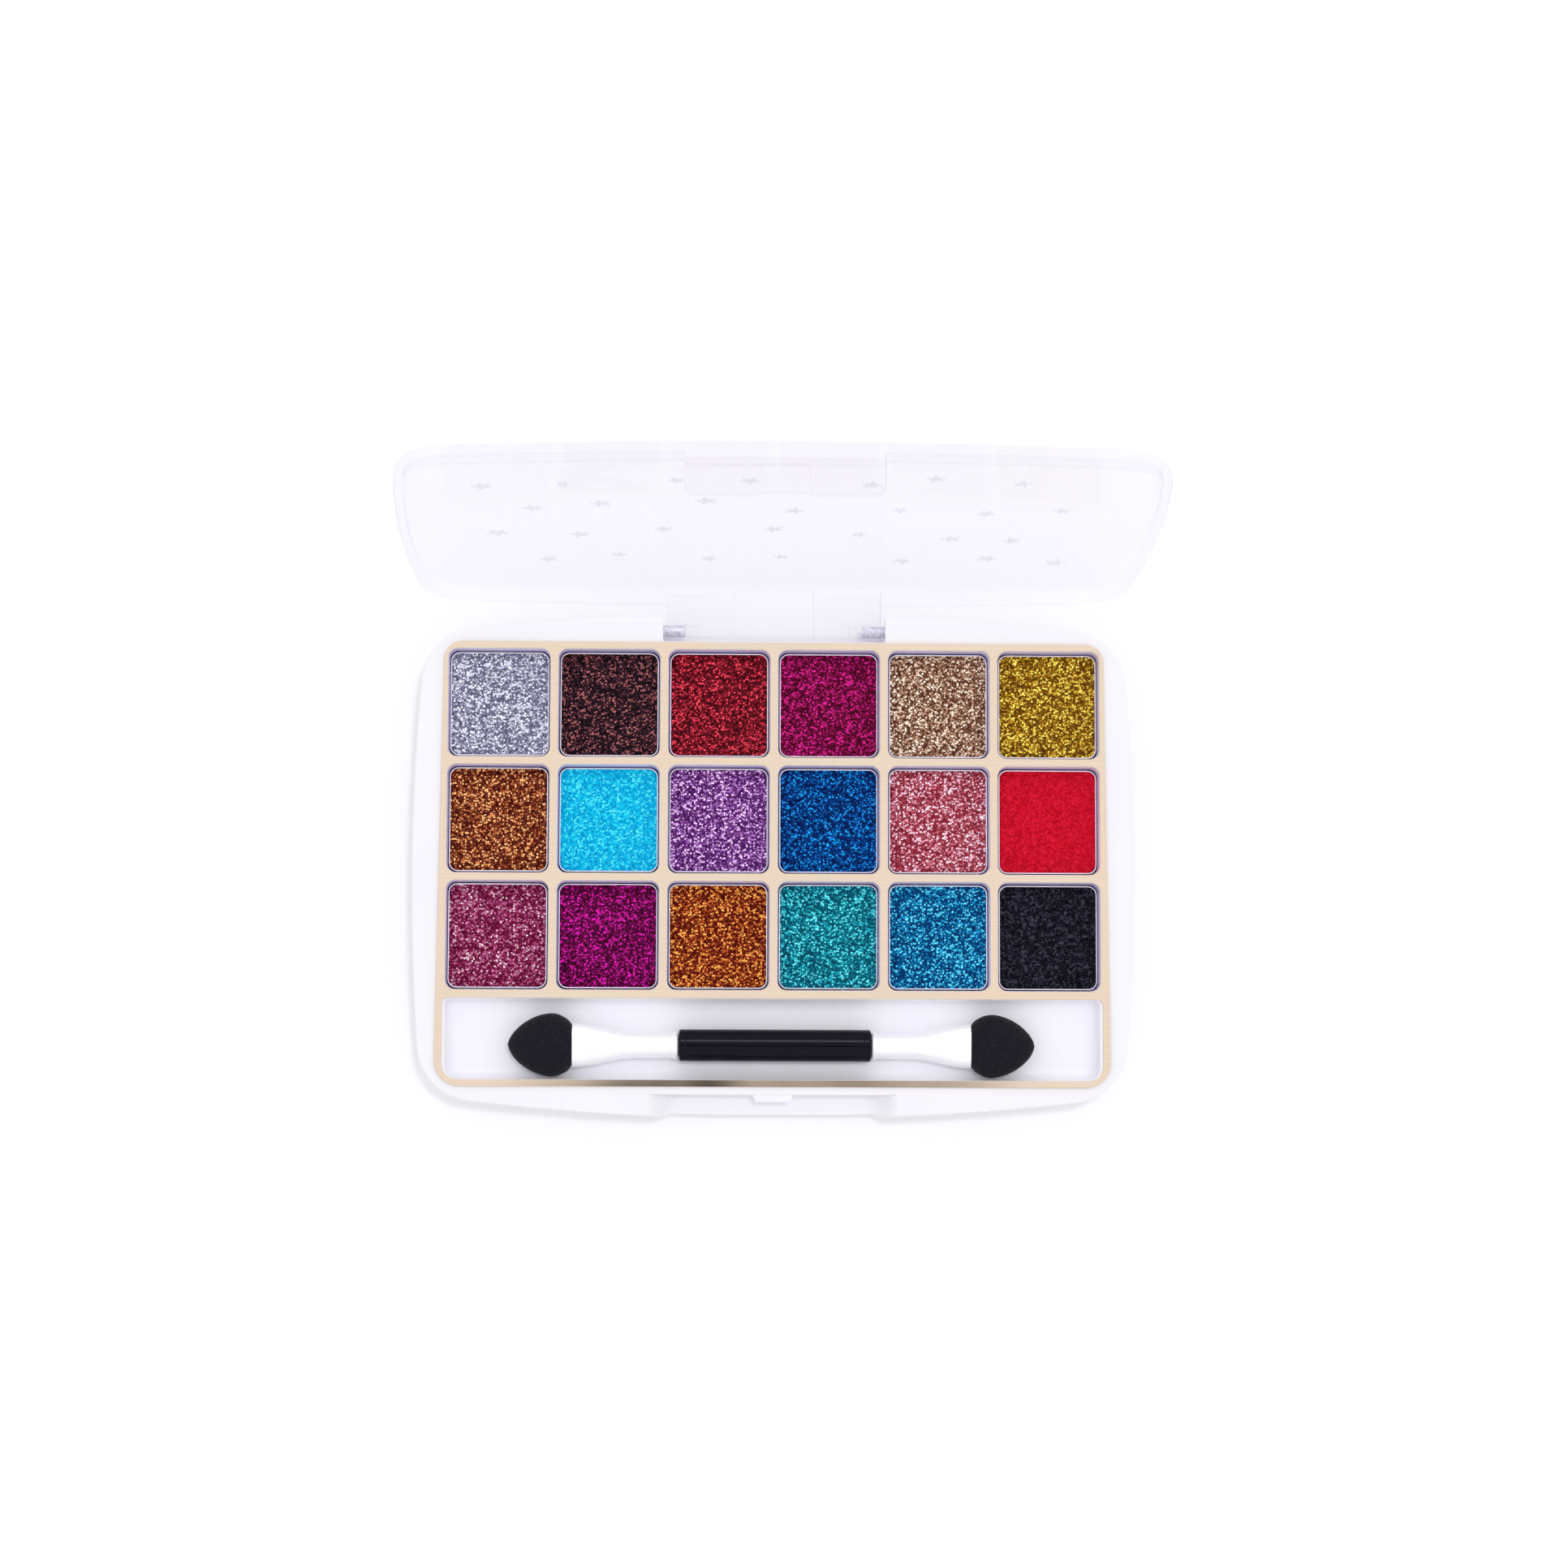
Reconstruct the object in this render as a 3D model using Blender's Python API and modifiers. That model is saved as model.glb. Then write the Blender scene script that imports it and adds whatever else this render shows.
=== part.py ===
"""Eyeshadow palette: eighteen glitter shades in a white case with a clear hinged lid and a sponge applicator.

Lengths are in metres. +X runs to the right, +Y from the front edge to the hinge and +Z up.
The origin is the centre of the case's underside. The lid stands open, leaning on its stop.
"""

import math

import bmesh
import bpy
from mathutils import Matrix

MM = 0.001
GLUE_LINE = 0.1 * MM
TRAY_GAP = 0.14 * MM

# Case: outline at the rim, rounded lower edge, floor
CASE_WIDTH = 100.0 * MM
CASE_DEPTH = 71.0 * MM
RIM_Z = 8.6 * MM
CORNER_RADIUS = 8.0 * MM
CORNER_X = 41.0 * MM
CORNER_Y = 25.2 * MM
SKIRT_INSET = 5.5 * MM
SKIRT_HEIGHT = 7.0 * MM
RIM_ROUNDING = 0.25 * MM
CASE_FLOOR = 1.2 * MM
RIB_THICKNESS = 1.2 * MM
RIB_MARGIN_X = 2.0 * MM
RIB_MARGIN_Y = 3.0 * MM

# Gold plate, a little wider at the front, and its windows
PLATE_THICKNESS = 0.3 * MM
PLATE_FRONT_HALF = 46.6 * MM
PLATE_BACK_HALF = 45.85 * MM
PLATE_FRONT_Y = -30.77 * MM
PLATE_BACK_Y = 30.87 * MM
PLATE_FRONT_RADIUS = 3.5 * MM
PLATE_BACK_RADIUS = 2.6 * MM
COLUMNS = 6
ROWS = 3
PITCH_X = 15.27 * MM
PITCH_Y = 16.15 * MM
BACK_ROW_Y = 22.36 * MM
WINDOW_WIDTH = 14.25 * MM
WINDOW_DEPTH = 15.15 * MM
WINDOW_RADIUS = 1.35 * MM
TROUGH_HALF = 45.3 * MM
TROUGH_BACK_Y = -18.6 * MM
TROUGH_FRONT_Y = -29.85 * MM
TROUGH_BACK_RADIUS = 0.8 * MM
TROUGH_FRONT_RADIUS = 2.1 * MM
LIP = 0.05 * MM

# Tray
TRAY_HALF_WIDTH = 45.66 * MM
TRAY_HALF_DEPTH = 30.33 * MM
TRAY_RADIUS = 2.2 * MM
TRAY_BOTTOM_Z = 3.0 * MM
WELL_FLOOR_Z = 4.1 * MM
WELL_DRAFT = 0.14 * MM
WELL_DRAFT_Z = 6.5 * MM
TROUGH_FLOOR_Z = 3.9 * MM
TROUGH_BOTTOM_ROUND = 1.8 * MM

# Pans and pressed shadows
PAN_WIDTH = 13.7 * MM
PAN_DEPTH = 14.5 * MM
PAN_RADIUS = 1.25 * MM
PAN_HEIGHT = 2.5 * MM
PAN_WALL = 0.25 * MM
SHADOW_CHAMFER = 0.2 * MM

# Hinge
AXIS_Y = 33.0 * MM
AXIS_Z = 4.6 * MM
OPEN_ANGLE = math.radians(96.6)
NOTCH_HALF = 15.5 * MM
NOTCH_FRONT_Y = 31.05 * MM
NOTCH_FLOOR_Z = 1.4 * MM
PIN_RADIUS = 0.80 * MM
PIN_INNER_X = 12.4 * MM
PIN_OUTER_X = 19.4 * MM
CASE_BORE_RADIUS = 0.84 * MM
CASE_BORE_X = 19.6 * MM
LID_BORE_RADIUS = 0.87 * MM
LID_BORE_X = 10.5 * MM
SWING_RADIUS = 4.1 * MM

# Front recess and catch
RECESS_FLAT_HALF = 13.6 * MM
RECESS_RAMP_HALF = 17.4 * MM
RECESS_EDGE_Y = -34.5 * MM
RECESS_WALL_HALF = 16.1 * MM
RECESS_WALL_Y = -31.8 * MM
LEDGE_INNER_Z = 4.5 * MM
LEDGE_OUTER_Z = 3.9 * MM
NIB_ROOT_HALF = 2.8 * MM
NIB_TIP_HALF = 2.3 * MM
NIB_LENGTH = 1.0 * MM
NIB_HEIGHT = 1.0 * MM

# Lid, in its closed place
LID_RIM_Z = 8.75 * MM
LID_EDGE_DEPTH = 2.8 * MM
LID_FILLET = 2.0 * MM
LID_CROWN = 1.0 * MM
LID_CROWN_FLAT = 0.18
LID_WALL = 1.2 * MM
BLOCK_HALF = 15.0 * MM
BLOCK_FRONT = -1.6 * MM
BLOCK_BACK = 2.15 * MM
BLOCK_BOTTOM = -1.45 * MM
BLOCK_TOP_INSET = 0.35 * MM
BLOCK_SHOULDER = 1.4 * MM
WEB_HALF = 5.6 * MM
WEB_FRONT = 0.6 * MM
WEB_BOTTOM = -0.8 * MM
STOP_NUB_X = 7.9 * MM
STOP_NUB_WIDTH = 1.0 * MM
STOP_NUB_RADIUS = 0.35 * MM
TAB_HALF = 12.45 * MM
TAB_INNER_Y = -32.1 * MM
TAB_OUTER_Y = -34.6 * MM
TAB_BOTTOM_Z = 4.8 * MM
TAB_TOP_Z = 9.8 * MM
TAB_RADIUS = 1.2 * MM
CHANNEL_HALF = 3.1 * MM
CHANNEL_DEPTH = 1.0 * MM

# Applicator, lying along X
APPLICATOR_Y = -25.0 * MM
APPLICATOR_Z = 6.25 * MM
HANDLE_LENGTH = 26.6 * MM
HANDLE_CENTRE_X = 0.3 * MM
HANDLE_RADIUS = 2.23 * MM
HANDLE_ROUND = 0.35 * MM
TENON_LENGTH = 5.0 * MM
TENON_RADIUS = 1.4 * MM
FERRULE_LENGTHS = {"left": 14.6 * MM, "right": 13.7 * MM}
FERRULE_WALL = 0.2 * MM
FERRULE_RADIUS = 1.8 * MM
FERRULE_MOUTH_HALF_WIDTH = 3.1 * MM
FERRULE_MOUTH_HALF_HEIGHT = 1.55 * MM
FERRULE_BEAD = 0.15 * MM
SPONGE_LENGTH = 8.9 * MM
SPONGE_HALF_WIDTH = 4.4 * MM
SPONGE_HALF_HEIGHT = 2.0 * MM
SPONGE_NECK_LENGTH = 1.5 * MM
SPONGE_ROOT = 0.72
SPONGE_WIDEST = 0.32

WHITE_PLASTIC = (0.86, 0.85, 0.90)
CLEAR_PLASTIC = (0.90, 0.90, 0.96)
GOLD = (0.83, 0.66, 0.40)
STEEL = (0.62, 0.62, 0.64)
TIN = (0.75, 0.75, 0.78)
SILVER = (0.85, 0.85, 0.87)
GLOSS_BLACK = (0.012, 0.012, 0.018)
SPONGE_BLACK = (0.010, 0.010, 0.012)
SHADES = (
    ((0.60, 0.63, 0.70), (0.06, 0.03, 0.03), (0.38, 0.02, 0.03),
     (0.50, 0.01, 0.16), (0.56, 0.40, 0.22), (0.50, 0.38, 0.02)),
    ((0.42, 0.14, 0.02), (0.05, 0.50, 0.78), (0.38, 0.18, 0.55),
     (0.02, 0.10, 0.38), (0.65, 0.20, 0.26), (0.78, 0.01, 0.02)),
    ((0.42, 0.06, 0.20), (0.40, 0.01, 0.28), (0.50, 0.16, 0.02),
     (0.05, 0.42, 0.37), (0.02, 0.24, 0.50), (0.01, 0.01, 0.02)),
)

ALONG_X = Matrix(((0, 0, 1, 0), (1, 0, 0, 0), (0, 1, 0, 0), (0, 0, 0, 1)))
ALONG_Y = Matrix.Rotation(math.radians(90), 4, "X")


# --- scene -------------------------------------------------------------------------------------


def clear_scene():
    for obj in list(bpy.data.objects):
        bpy.data.objects.remove(obj, do_unlink=True)


def new_collection(name):
    collection = bpy.data.collections.new(name)
    bpy.context.scene.collection.children.link(collection)
    return collection


def principled(name, color, roughness, metallic=0.0, transmission=0.0):
    material = bpy.data.materials.new(name)
    material.use_nodes = True
    shader = material.node_tree.nodes["Principled BSDF"]
    shader.inputs["Base Color"].default_value = (*color, 1.0)
    shader.inputs["Roughness"].default_value = roughness
    shader.inputs["Metallic"].default_value = metallic
    shader.inputs["Transmission Weight"].default_value = transmission
    material.diffuse_color = (*color, 1.0)
    return material


def add_part(name, mesh, material):
    obj = bpy.data.objects.new(name, mesh)
    mesh.name = name
    mesh.materials.clear()
    mesh.materials.append(material)
    PARTS.objects.link(obj)
    return obj


def add_tool(name, mesh, parent=None):
    """A helper body that a Boolean adds to or takes from a part."""
    obj = bpy.data.objects.new(name, mesh)
    TOOLS.objects.link(obj)
    obj.hide_render = True
    obj.display_type = "WIRE"
    obj.parent = parent
    return obj


def combine(target, tool, operation):
    modifier = target.modifiers.new(f"{operation.lower()} {tool.name}", "BOOLEAN")
    modifier.solver = "EXACT"
    modifier.operation = operation
    modifier.object = tool


# --- shapes ------------------------------------------------------------------------------------


def arc(centre, radius, start, end, steps):
    """Points on an arc, both ends included. Angles are in degrees."""
    angles = [math.radians(start + (end - start) * i / steps) for i in range(steps + 1)]
    return [(centre[0] + radius * math.cos(a), centre[1] + radius * math.sin(a)) for a in angles]


def rounded_quad(centre_x, halves, edges, radii, steps=3):
    """A four-sided loop with round corners: (front, back) half-widths, Y of the edges and corner radii."""
    (front_half, back_half), (front_y, back_y), (front_radius, back_radius) = halves, edges, radii
    back_x, back = back_half - back_radius, back_y - back_radius
    front_x, front = front_half - front_radius, front_y + front_radius
    loop = arc((centre_x + back_x, back), back_radius, 0, 90, steps)
    loop += arc((centre_x - back_x, back), back_radius, 90, 180, steps)
    loop += arc((centre_x - front_x, front), front_radius, 180, 270, steps)
    loop += arc((centre_x + front_x, front), front_radius, 270, 360, steps)
    return loop


def rounded_rectangle(centre_x, centre_y, half_width, half_depth, radius):
    edges = (centre_y - half_depth, centre_y + half_depth)
    return rounded_quad(centre_x, (half_width, half_width), edges, (radius, radius))


def bulge_radius(half_span, rise, corner_radius):
    """Radius of a side's bulge that meets the corner arcs tangentially."""
    return (half_span**2 + rise**2 - corner_radius**2) / (2 * (rise - corner_radius))


def case_outline(inset=0.0):
    """The case's outline at the rim, moved inwards by inset: four bulged sides and four round corners."""
    half_width, half_depth = CASE_WIDTH / 2, CASE_DEPTH / 2
    side = bulge_radius(CORNER_Y, half_width - CORNER_X, CORNER_RADIUS)
    back = bulge_radius(CORNER_X, half_depth - CORNER_Y, CORNER_RADIUS)
    side_centre, back_centre = (half_width - side, 0), (0, half_depth - back)
    side_end = math.degrees(math.atan2(CORNER_Y, CORNER_X - side_centre[0]))
    back_start = math.degrees(math.atan2(CORNER_Y - back_centre[1], CORNER_X))
    quarter = arc(side_centre, side - inset, 0, side_end, 3)
    quarter += arc((CORNER_X, CORNER_Y), CORNER_RADIUS - inset, side_end, back_start, 6)[1:]
    quarter += arc(back_centre, back - inset, back_start, 90, 5)[1:]
    left = [(-x, y) for x, y in reversed(quarter)][1:]
    upper = quarter + left
    return upper + [(x, -y) for x, y in reversed(upper)][1:-1]


def tidy_mesh(bm, name, transform=None):
    if transform is not None:
        bm.transform(transform)
    mesh = bpy.data.meshes.new(name)
    bm.to_mesh(mesh)
    bm.free()
    mesh.shade_smooth()
    mesh.set_sharp_from_angle(angle=math.radians(35))
    return mesh


def add_loft(bm, rings, cap_first=True, cap_last=True):
    """A skin over rings of equal point count. Counter-clockwise rings that rise face outwards."""
    rows = [[bm.verts.new(point) for point in ring] for ring in rings]
    for lower, upper in zip(rows, rows[1:]):
        for i in range(len(lower)):
            j = (i + 1) % len(lower)
            bm.faces.new((lower[i], lower[j], upper[j], upper[i]))
    if cap_first:
        bm.faces.new(reversed(rows[0]))
    if cap_last:
        bm.faces.new(rows[-1])


def loft(name, rings, cap_first=True, cap_last=True):
    bm = bmesh.new()
    add_loft(bm, rings, cap_first, cap_last)
    return tidy_mesh(bm, name)


def at_height(loop, z):
    return [(x, y, z) for x, y in loop]


def ease(share):
    """0 to 1 with a level start and end."""
    return share * share * (3 - 2 * share)


def flat_solid(name, loops, low, high, transform=None):
    """A flat outline with any holes, filled, from height low to high, as a closed mesh."""
    curve = bpy.data.curves.new(name, "CURVE")
    curve.dimensions = "2D"
    curve.fill_mode = "BOTH"
    curve.extrude = (high - low) / 2
    for loop in loops:
        spline = curve.splines.new("POLY")
        spline.points.add(len(loop) - 1)
        spline.use_cyclic_u = True
        for point, (x, y) in zip(spline.points, loop):
            point.co = (x, y, 0, 1)
    drawn = bpy.data.objects.new(name, curve)
    TOOLS.objects.link(drawn)
    evaluated = drawn.evaluated_get(bpy.context.evaluated_depsgraph_get())
    bm = bmesh.new()
    bm.from_mesh(bpy.data.meshes.new_from_object(evaluated))
    bpy.data.objects.remove(drawn)
    bmesh.ops.remove_doubles(bm, verts=bm.verts, dist=1e-7)
    bmesh.ops.translate(bm, verts=bm.verts, vec=(0, 0, (high + low) / 2))
    bmesh.ops.recalc_face_normals(bm, faces=bm.faces)
    return tidy_mesh(bm, name, transform)


def cylinder_x(name, radius, x0, x1, y, z, segments=24):
    bm = bmesh.new()
    bmesh.ops.create_cone(
        bm, cap_ends=True, segments=segments, radius1=radius, radius2=radius, depth=x1 - x0
    )
    place = Matrix.Translation(((x0 + x1) / 2, y, z)) @ Matrix.Rotation(math.radians(90), 4, "Y")
    return tidy_mesh(bm, name, place)


def solidify(obj, thickness):
    modifier = obj.modifiers.new("wall", "SOLIDIFY")
    modifier.thickness = thickness
    modifier.offset = -1
    modifier.use_even_offset = True


# --- layout ------------------------------------------------------------------------------------


def well_centres():
    """(row, column, x, y) of each well, rows counted from the back and columns from the left."""
    for row in range(ROWS):
        for column in range(COLUMNS):
            x = (column - (COLUMNS - 1) / 2) * PITCH_X
            yield row, column, x, BACK_ROW_Y - row * PITCH_Y


def window_loops(lip=0.0):
    """The eighteen windows, each made smaller all round by lip."""
    half_width, half_depth = WINDOW_WIDTH / 2 - lip, WINDOW_DEPTH / 2 - lip
    return [
        rounded_rectangle(x, y, half_width, half_depth, WINDOW_RADIUS - lip)
        for _, _, x, y in well_centres()
    ]


def trough_loop(inset=0.0, smallest_radius=0.05 * MM):
    half = TROUGH_HALF - inset
    edges = (TROUGH_FRONT_Y + inset, TROUGH_BACK_Y - inset)
    radii = [max(r - inset, smallest_radius) for r in (TROUGH_FRONT_RADIUS, TROUGH_BACK_RADIUS)]
    return rounded_quad(0, (half, half), edges, radii)


# --- case --------------------------------------------------------------------------------------


def case_shell():
    steps = 6
    rings = []
    for i in range(steps + 1):
        turn = math.radians(90 * i / steps)
        inset = SKIRT_INSET * (1 - math.sin(turn))
        rings.append(at_height(case_outline(inset), SKIRT_HEIGHT * (1 - math.cos(turn))))
    rings.append(at_height(case_outline(), RIM_Z - RIM_ROUNDING))
    rings.append(at_height(case_outline(RIM_ROUNDING), RIM_Z))
    return loft("base_case", rings)


def pocket_tool():
    half_width, half_depth = TRAY_HALF_WIDTH + TRAY_GAP, TRAY_HALF_DEPTH + TRAY_GAP
    loop = rounded_rectangle(0, 0, half_width, half_depth, TRAY_RADIUS + TRAY_GAP)
    return flat_solid("tray_pocket", [loop], TRAY_BOTTOM_Z - GLUE_LINE, RIM_Z + 2 * MM)


def rib_cells_tool():
    """The hollows between the ribs that carry the tray."""
    across, along = 4, 3
    half_width, half_depth = TRAY_HALF_WIDTH - RIB_MARGIN_X, TRAY_HALF_DEPTH - RIB_MARGIN_Y
    width = (2 * half_width - (across - 1) * RIB_THICKNESS) / across
    depth = (2 * half_depth - (along - 1) * RIB_THICKNESS) / along
    cells = []
    for i in range(across):
        for j in range(along):
            x = -half_width + i * (width + RIB_THICKNESS)
            y = -half_depth + j * (depth + RIB_THICKNESS)
            cells.append([(x, y), (x + width, y), (x + width, y + depth), (x, y + depth)])
    return flat_solid("rib_cells", cells, CASE_FLOOR, TRAY_BOTTOM_Z + 0.5 * MM)


def notch_tool():
    beyond = CASE_DEPTH
    loop = [
        (-NOTCH_HALF, NOTCH_FRONT_Y),
        (NOTCH_HALF, NOTCH_FRONT_Y),
        (NOTCH_HALF, beyond),
        (-NOTCH_HALF, beyond),
    ]
    return flat_solid("hinge_notch", [loop], NOTCH_FLOOR_Z, RIM_Z + 2 * MM)


def swing_relief_tool():
    """Rounds the back edge about the hinge axis, so that the lid's back wall swings past it."""
    far = 8 * MM
    start = math.degrees(math.acos(0.2))
    curve = arc((AXIS_Y, AXIS_Z), SWING_RADIUS, 0, start, 8)
    above = (curve[-1][0], AXIS_Z + far)
    profile = [(AXIS_Y + far, AXIS_Z), (AXIS_Y + far, AXIS_Z + far), above, *reversed(curve)]
    half = CASE_WIDTH / 2
    return flat_solid("swing_relief", [profile], -half, half, ALONG_X)


def recess_edge_tool():
    """Takes the outline back at the front, with an S-shaped ramp at each end."""
    steps = 6
    full_y = -CASE_DEPTH / 2 - 1 * MM
    ramp = []
    for i in range(steps + 1):
        share = i / steps
        x = RECESS_FLAT_HALF + share * (RECESS_RAMP_HALF - RECESS_FLAT_HALF)
        ramp.append((x, RECESS_EDGE_Y + ease(share) * (full_y - RECESS_EDGE_Y)))
    loop = [(-x, y) for x, y in reversed(ramp)] + ramp
    loop += [(RECESS_RAMP_HALF, full_y - 3 * MM), (-RECESS_RAMP_HALF, full_y - 3 * MM)]
    return flat_solid("recess_edge", [loop], -1 * MM, RIM_Z + 1 * MM)


def recess_wall_tool():
    """Cuts the rim back to the catch wall, above a ledge that slopes outwards."""
    slope = (LEDGE_INNER_Z - LEDGE_OUTER_Z) / (RECESS_WALL_Y - RECESS_EDGE_Y)
    beyond = 3 * MM
    front_y = RECESS_EDGE_Y - beyond
    profile = [
        (RECESS_WALL_Y, LEDGE_INNER_Z),
        (RECESS_WALL_Y, RIM_Z + beyond),
        (front_y, RIM_Z + beyond),
        (front_y, LEDGE_OUTER_Z - slope * beyond),
    ]
    return flat_solid("recess_wall", [profile], -RECESS_WALL_HALF, RECESS_WALL_HALF, ALONG_X)


def nib_tool():
    buried_y = RECESS_WALL_Y + 0.6 * MM
    tip_y = RECESS_WALL_Y - NIB_LENGTH
    loop = [
        (-NIB_ROOT_HALF, buried_y),
        (-NIB_ROOT_HALF, RECESS_WALL_Y),
        (-NIB_TIP_HALF, tip_y),
        (NIB_TIP_HALF, tip_y),
        (NIB_ROOT_HALF, RECESS_WALL_Y),
        (NIB_ROOT_HALF, buried_y),
    ]
    top = RIM_Z - 0.15 * MM
    return flat_solid("catch_nib", [loop], top - NIB_HEIGHT, top)


def make_base_case():
    case = add_part("base_case", case_shell(), principled("case_white", WHITE_PLASTIC, 0.28))
    bores = cylinder_x("case_bores", CASE_BORE_RADIUS, -CASE_BORE_X, CASE_BORE_X, AXIS_Y, AXIS_Z)
    cuts = (
        pocket_tool(),
        rib_cells_tool(),
        notch_tool(),
        bores,
        swing_relief_tool(),
        recess_edge_tool(),
        recess_wall_tool(),
    )
    for mesh in cuts:
        combine(case, add_tool(mesh.name, mesh), "DIFFERENCE")
    combine(case, add_tool("catch_nib", nib_tool()), "UNION")


# --- tray, plate and shadows -------------------------------------------------------------------


def trough_tool():
    steps = 4
    rings = []
    for i in range(steps + 1):
        turn = math.radians(90 * i / steps)
        inset = LIP + TROUGH_BOTTOM_ROUND * (1 - math.sin(turn))
        z = TROUGH_FLOOR_Z + TROUGH_BOTTOM_ROUND * (1 - math.cos(turn))
        rings.append(at_height(trough_loop(inset), z))
    rings.append(at_height(trough_loop(LIP), RIM_Z + 2 * MM))
    return loft("trough", rings)


def wells_tool():
    """The eighteen wells: they taper down to the pans' rims and are straight below."""
    bm = bmesh.new()
    narrow, wide = window_loops(LIP + WELL_DRAFT), window_loops(LIP)
    for low, high in zip(narrow, wide):
        rings = [
            at_height(low, WELL_FLOOR_Z),
            at_height(low, WELL_DRAFT_Z),
            at_height(high, RIM_Z),
            at_height(high, RIM_Z + 2 * MM),
        ]
        add_loft(bm, rings)
    return tidy_mesh(bm, "wells")


def make_inner_tray():
    outline = rounded_rectangle(0, 0, TRAY_HALF_WIDTH, TRAY_HALF_DEPTH, TRAY_RADIUS)
    blank = flat_solid("inner_tray", [outline], TRAY_BOTTOM_Z, RIM_Z)
    tray = add_part("inner_tray", blank, principled("tray_white", WHITE_PLASTIC, 0.32))
    combine(tray, add_tool("wells", wells_tool()), "DIFFERENCE")
    combine(tray, add_tool("trough", trough_tool()), "DIFFERENCE")


def make_face_plate():
    outline = rounded_quad(
        0,
        (PLATE_FRONT_HALF, PLATE_BACK_HALF),
        (PLATE_FRONT_Y, PLATE_BACK_Y),
        (PLATE_FRONT_RADIUS, PLATE_BACK_RADIUS),
        steps=5,
    )
    bottom = RIM_Z + GLUE_LINE
    loops = [outline, *window_loops(), trough_loop()]
    plate = flat_solid("gold_face_plate", loops, bottom, bottom + PLATE_THICKNESS)
    add_part("gold_face_plate", plate, principled("brushed_gold", GOLD, 0.30, metallic=1.0))


def pan_loop(inset):
    return rounded_rectangle(0, 0, PAN_WIDTH / 2 - inset, PAN_DEPTH / 2 - inset, PAN_RADIUS - inset)


def make_pans_and_shadows():
    tin = principled("pan_tin", TIN, 0.25, metallic=1.0)
    pan_mesh = loft(
        "pan", [at_height(pan_loop(0), 0), at_height(pan_loop(0), PAN_HEIGHT)], cap_last=False
    )
    inset = PAN_WALL + GLUE_LINE
    low, high = inset, PAN_HEIGHT - GLUE_LINE
    shadow_mesh = loft(
        "shadow",
        [
            at_height(pan_loop(inset), low),
            at_height(pan_loop(inset), high - SHADOW_CHAMFER),
            at_height(pan_loop(inset + SHADOW_CHAMFER), high),
        ],
    )
    for row, column, x, y in well_centres():
        place = (x, y, WELL_FLOOR_Z + GLUE_LINE)
        suffix = f"r{row + 1}c{column + 1}"
        pan = add_part(f"pan_{suffix}", pan_mesh.copy(), tin)
        pan.location = place
        solidify(pan, PAN_WALL)
        glitter = principled(f"shadow_{suffix}", SHADES[row][column], 0.45, metallic=0.3)
        shadow = add_part(f"shadow_{suffix}", shadow_mesh.copy(), glitter)
        shadow.location = place


# --- lid and hinge -----------------------------------------------------------------------------


def lid_frame(y, z):
    """A point of the closed lid, counted from the hinge axis."""
    return y - AXIS_Y, z - AXIS_Z


def lid_skin():
    """The lid's outer skin, closed, counted from the hinge axis: a wall, a fillet and a shallow dome."""
    rings = [(0.0, 1.0, 0.0)]
    fillet_steps, dome_steps = 5, 4
    for i in range(fillet_steps + 1):
        turn = math.radians(90 * i / fillet_steps)
        rise = LID_EDGE_DEPTH - LID_FILLET * (1 - math.sin(turn))
        rings.append((LID_FILLET * (1 - math.cos(turn)), 1.0, rise))
    for i in range(1, dome_steps + 1):
        scale = 1 - (1 - LID_CROWN_FLAT) * i / dome_steps
        rings.append((LID_FILLET, scale, LID_EDGE_DEPTH + LID_CROWN * (1 - scale * scale)))
    skin = []
    for inset, scale, rise in rings:
        y_shift, z = lid_frame(0, LID_RIM_Z + rise)
        skin.append([(x * scale, y * scale + y_shift, z) for x, y in case_outline(inset)])
    return loft("lid", skin, cap_first=False)


def hinge_block_tool():
    """Two ears joined by a web, hanging from the roof to just below the hinge axis."""
    top = lid_frame(0, LID_RIM_Z + LID_EDGE_DEPTH - BLOCK_TOP_INSET)[1]
    shoulder = lid_frame(0, LID_RIM_Z + BLOCK_SHOULDER)[1]
    chin = arc((0, 0), -BLOCK_FRONT, 180, 270, 6)
    profile = [
        (BLOCK_BACK, BLOCK_BOTTOM),
        (BLOCK_BACK, shoulder),
        (BLOCK_BACK - LID_FILLET, top),
        (BLOCK_FRONT, top),
        *chin,
    ]
    return flat_solid("hinge_block", [profile], -BLOCK_HALF, BLOCK_HALF, ALONG_X)


def web_recess_tool():
    roof = lid_frame(0, LID_RIM_Z + LID_EDGE_DEPTH - LID_WALL)[1]
    low = BLOCK_BOTTOM - 2 * MM
    profile = [
        (BLOCK_FRONT - 1 * MM, low),
        (BLOCK_BACK + 1 * MM, low),
        (BLOCK_BACK + 1 * MM, WEB_BOTTOM),
        (WEB_FRONT, WEB_BOTTOM),
        (WEB_FRONT, roof),
        (BLOCK_FRONT - 1 * MM, roof),
    ]
    return flat_solid("web_recess", [profile], -WEB_HALF, WEB_HALF, ALONG_X)


def tab_tool():
    bottom = lid_frame(0, TAB_BOTTOM_Z)[1]
    top = lid_frame(0, TAB_TOP_Z)[1]
    profile = [(TAB_HALF, top), (-TAB_HALF, top)]
    profile += arc((TAB_RADIUS - TAB_HALF, bottom + TAB_RADIUS), TAB_RADIUS, 180, 270, 4)
    profile += arc((TAB_HALF - TAB_RADIUS, bottom + TAB_RADIUS), TAB_RADIUS, 270, 360, 4)
    outer, inner = lid_frame(TAB_OUTER_Y, 0)[0], lid_frame(TAB_INNER_Y, 0)[0]
    return flat_solid("tab", [profile], -inner, -outer, ALONG_Y)


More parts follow.
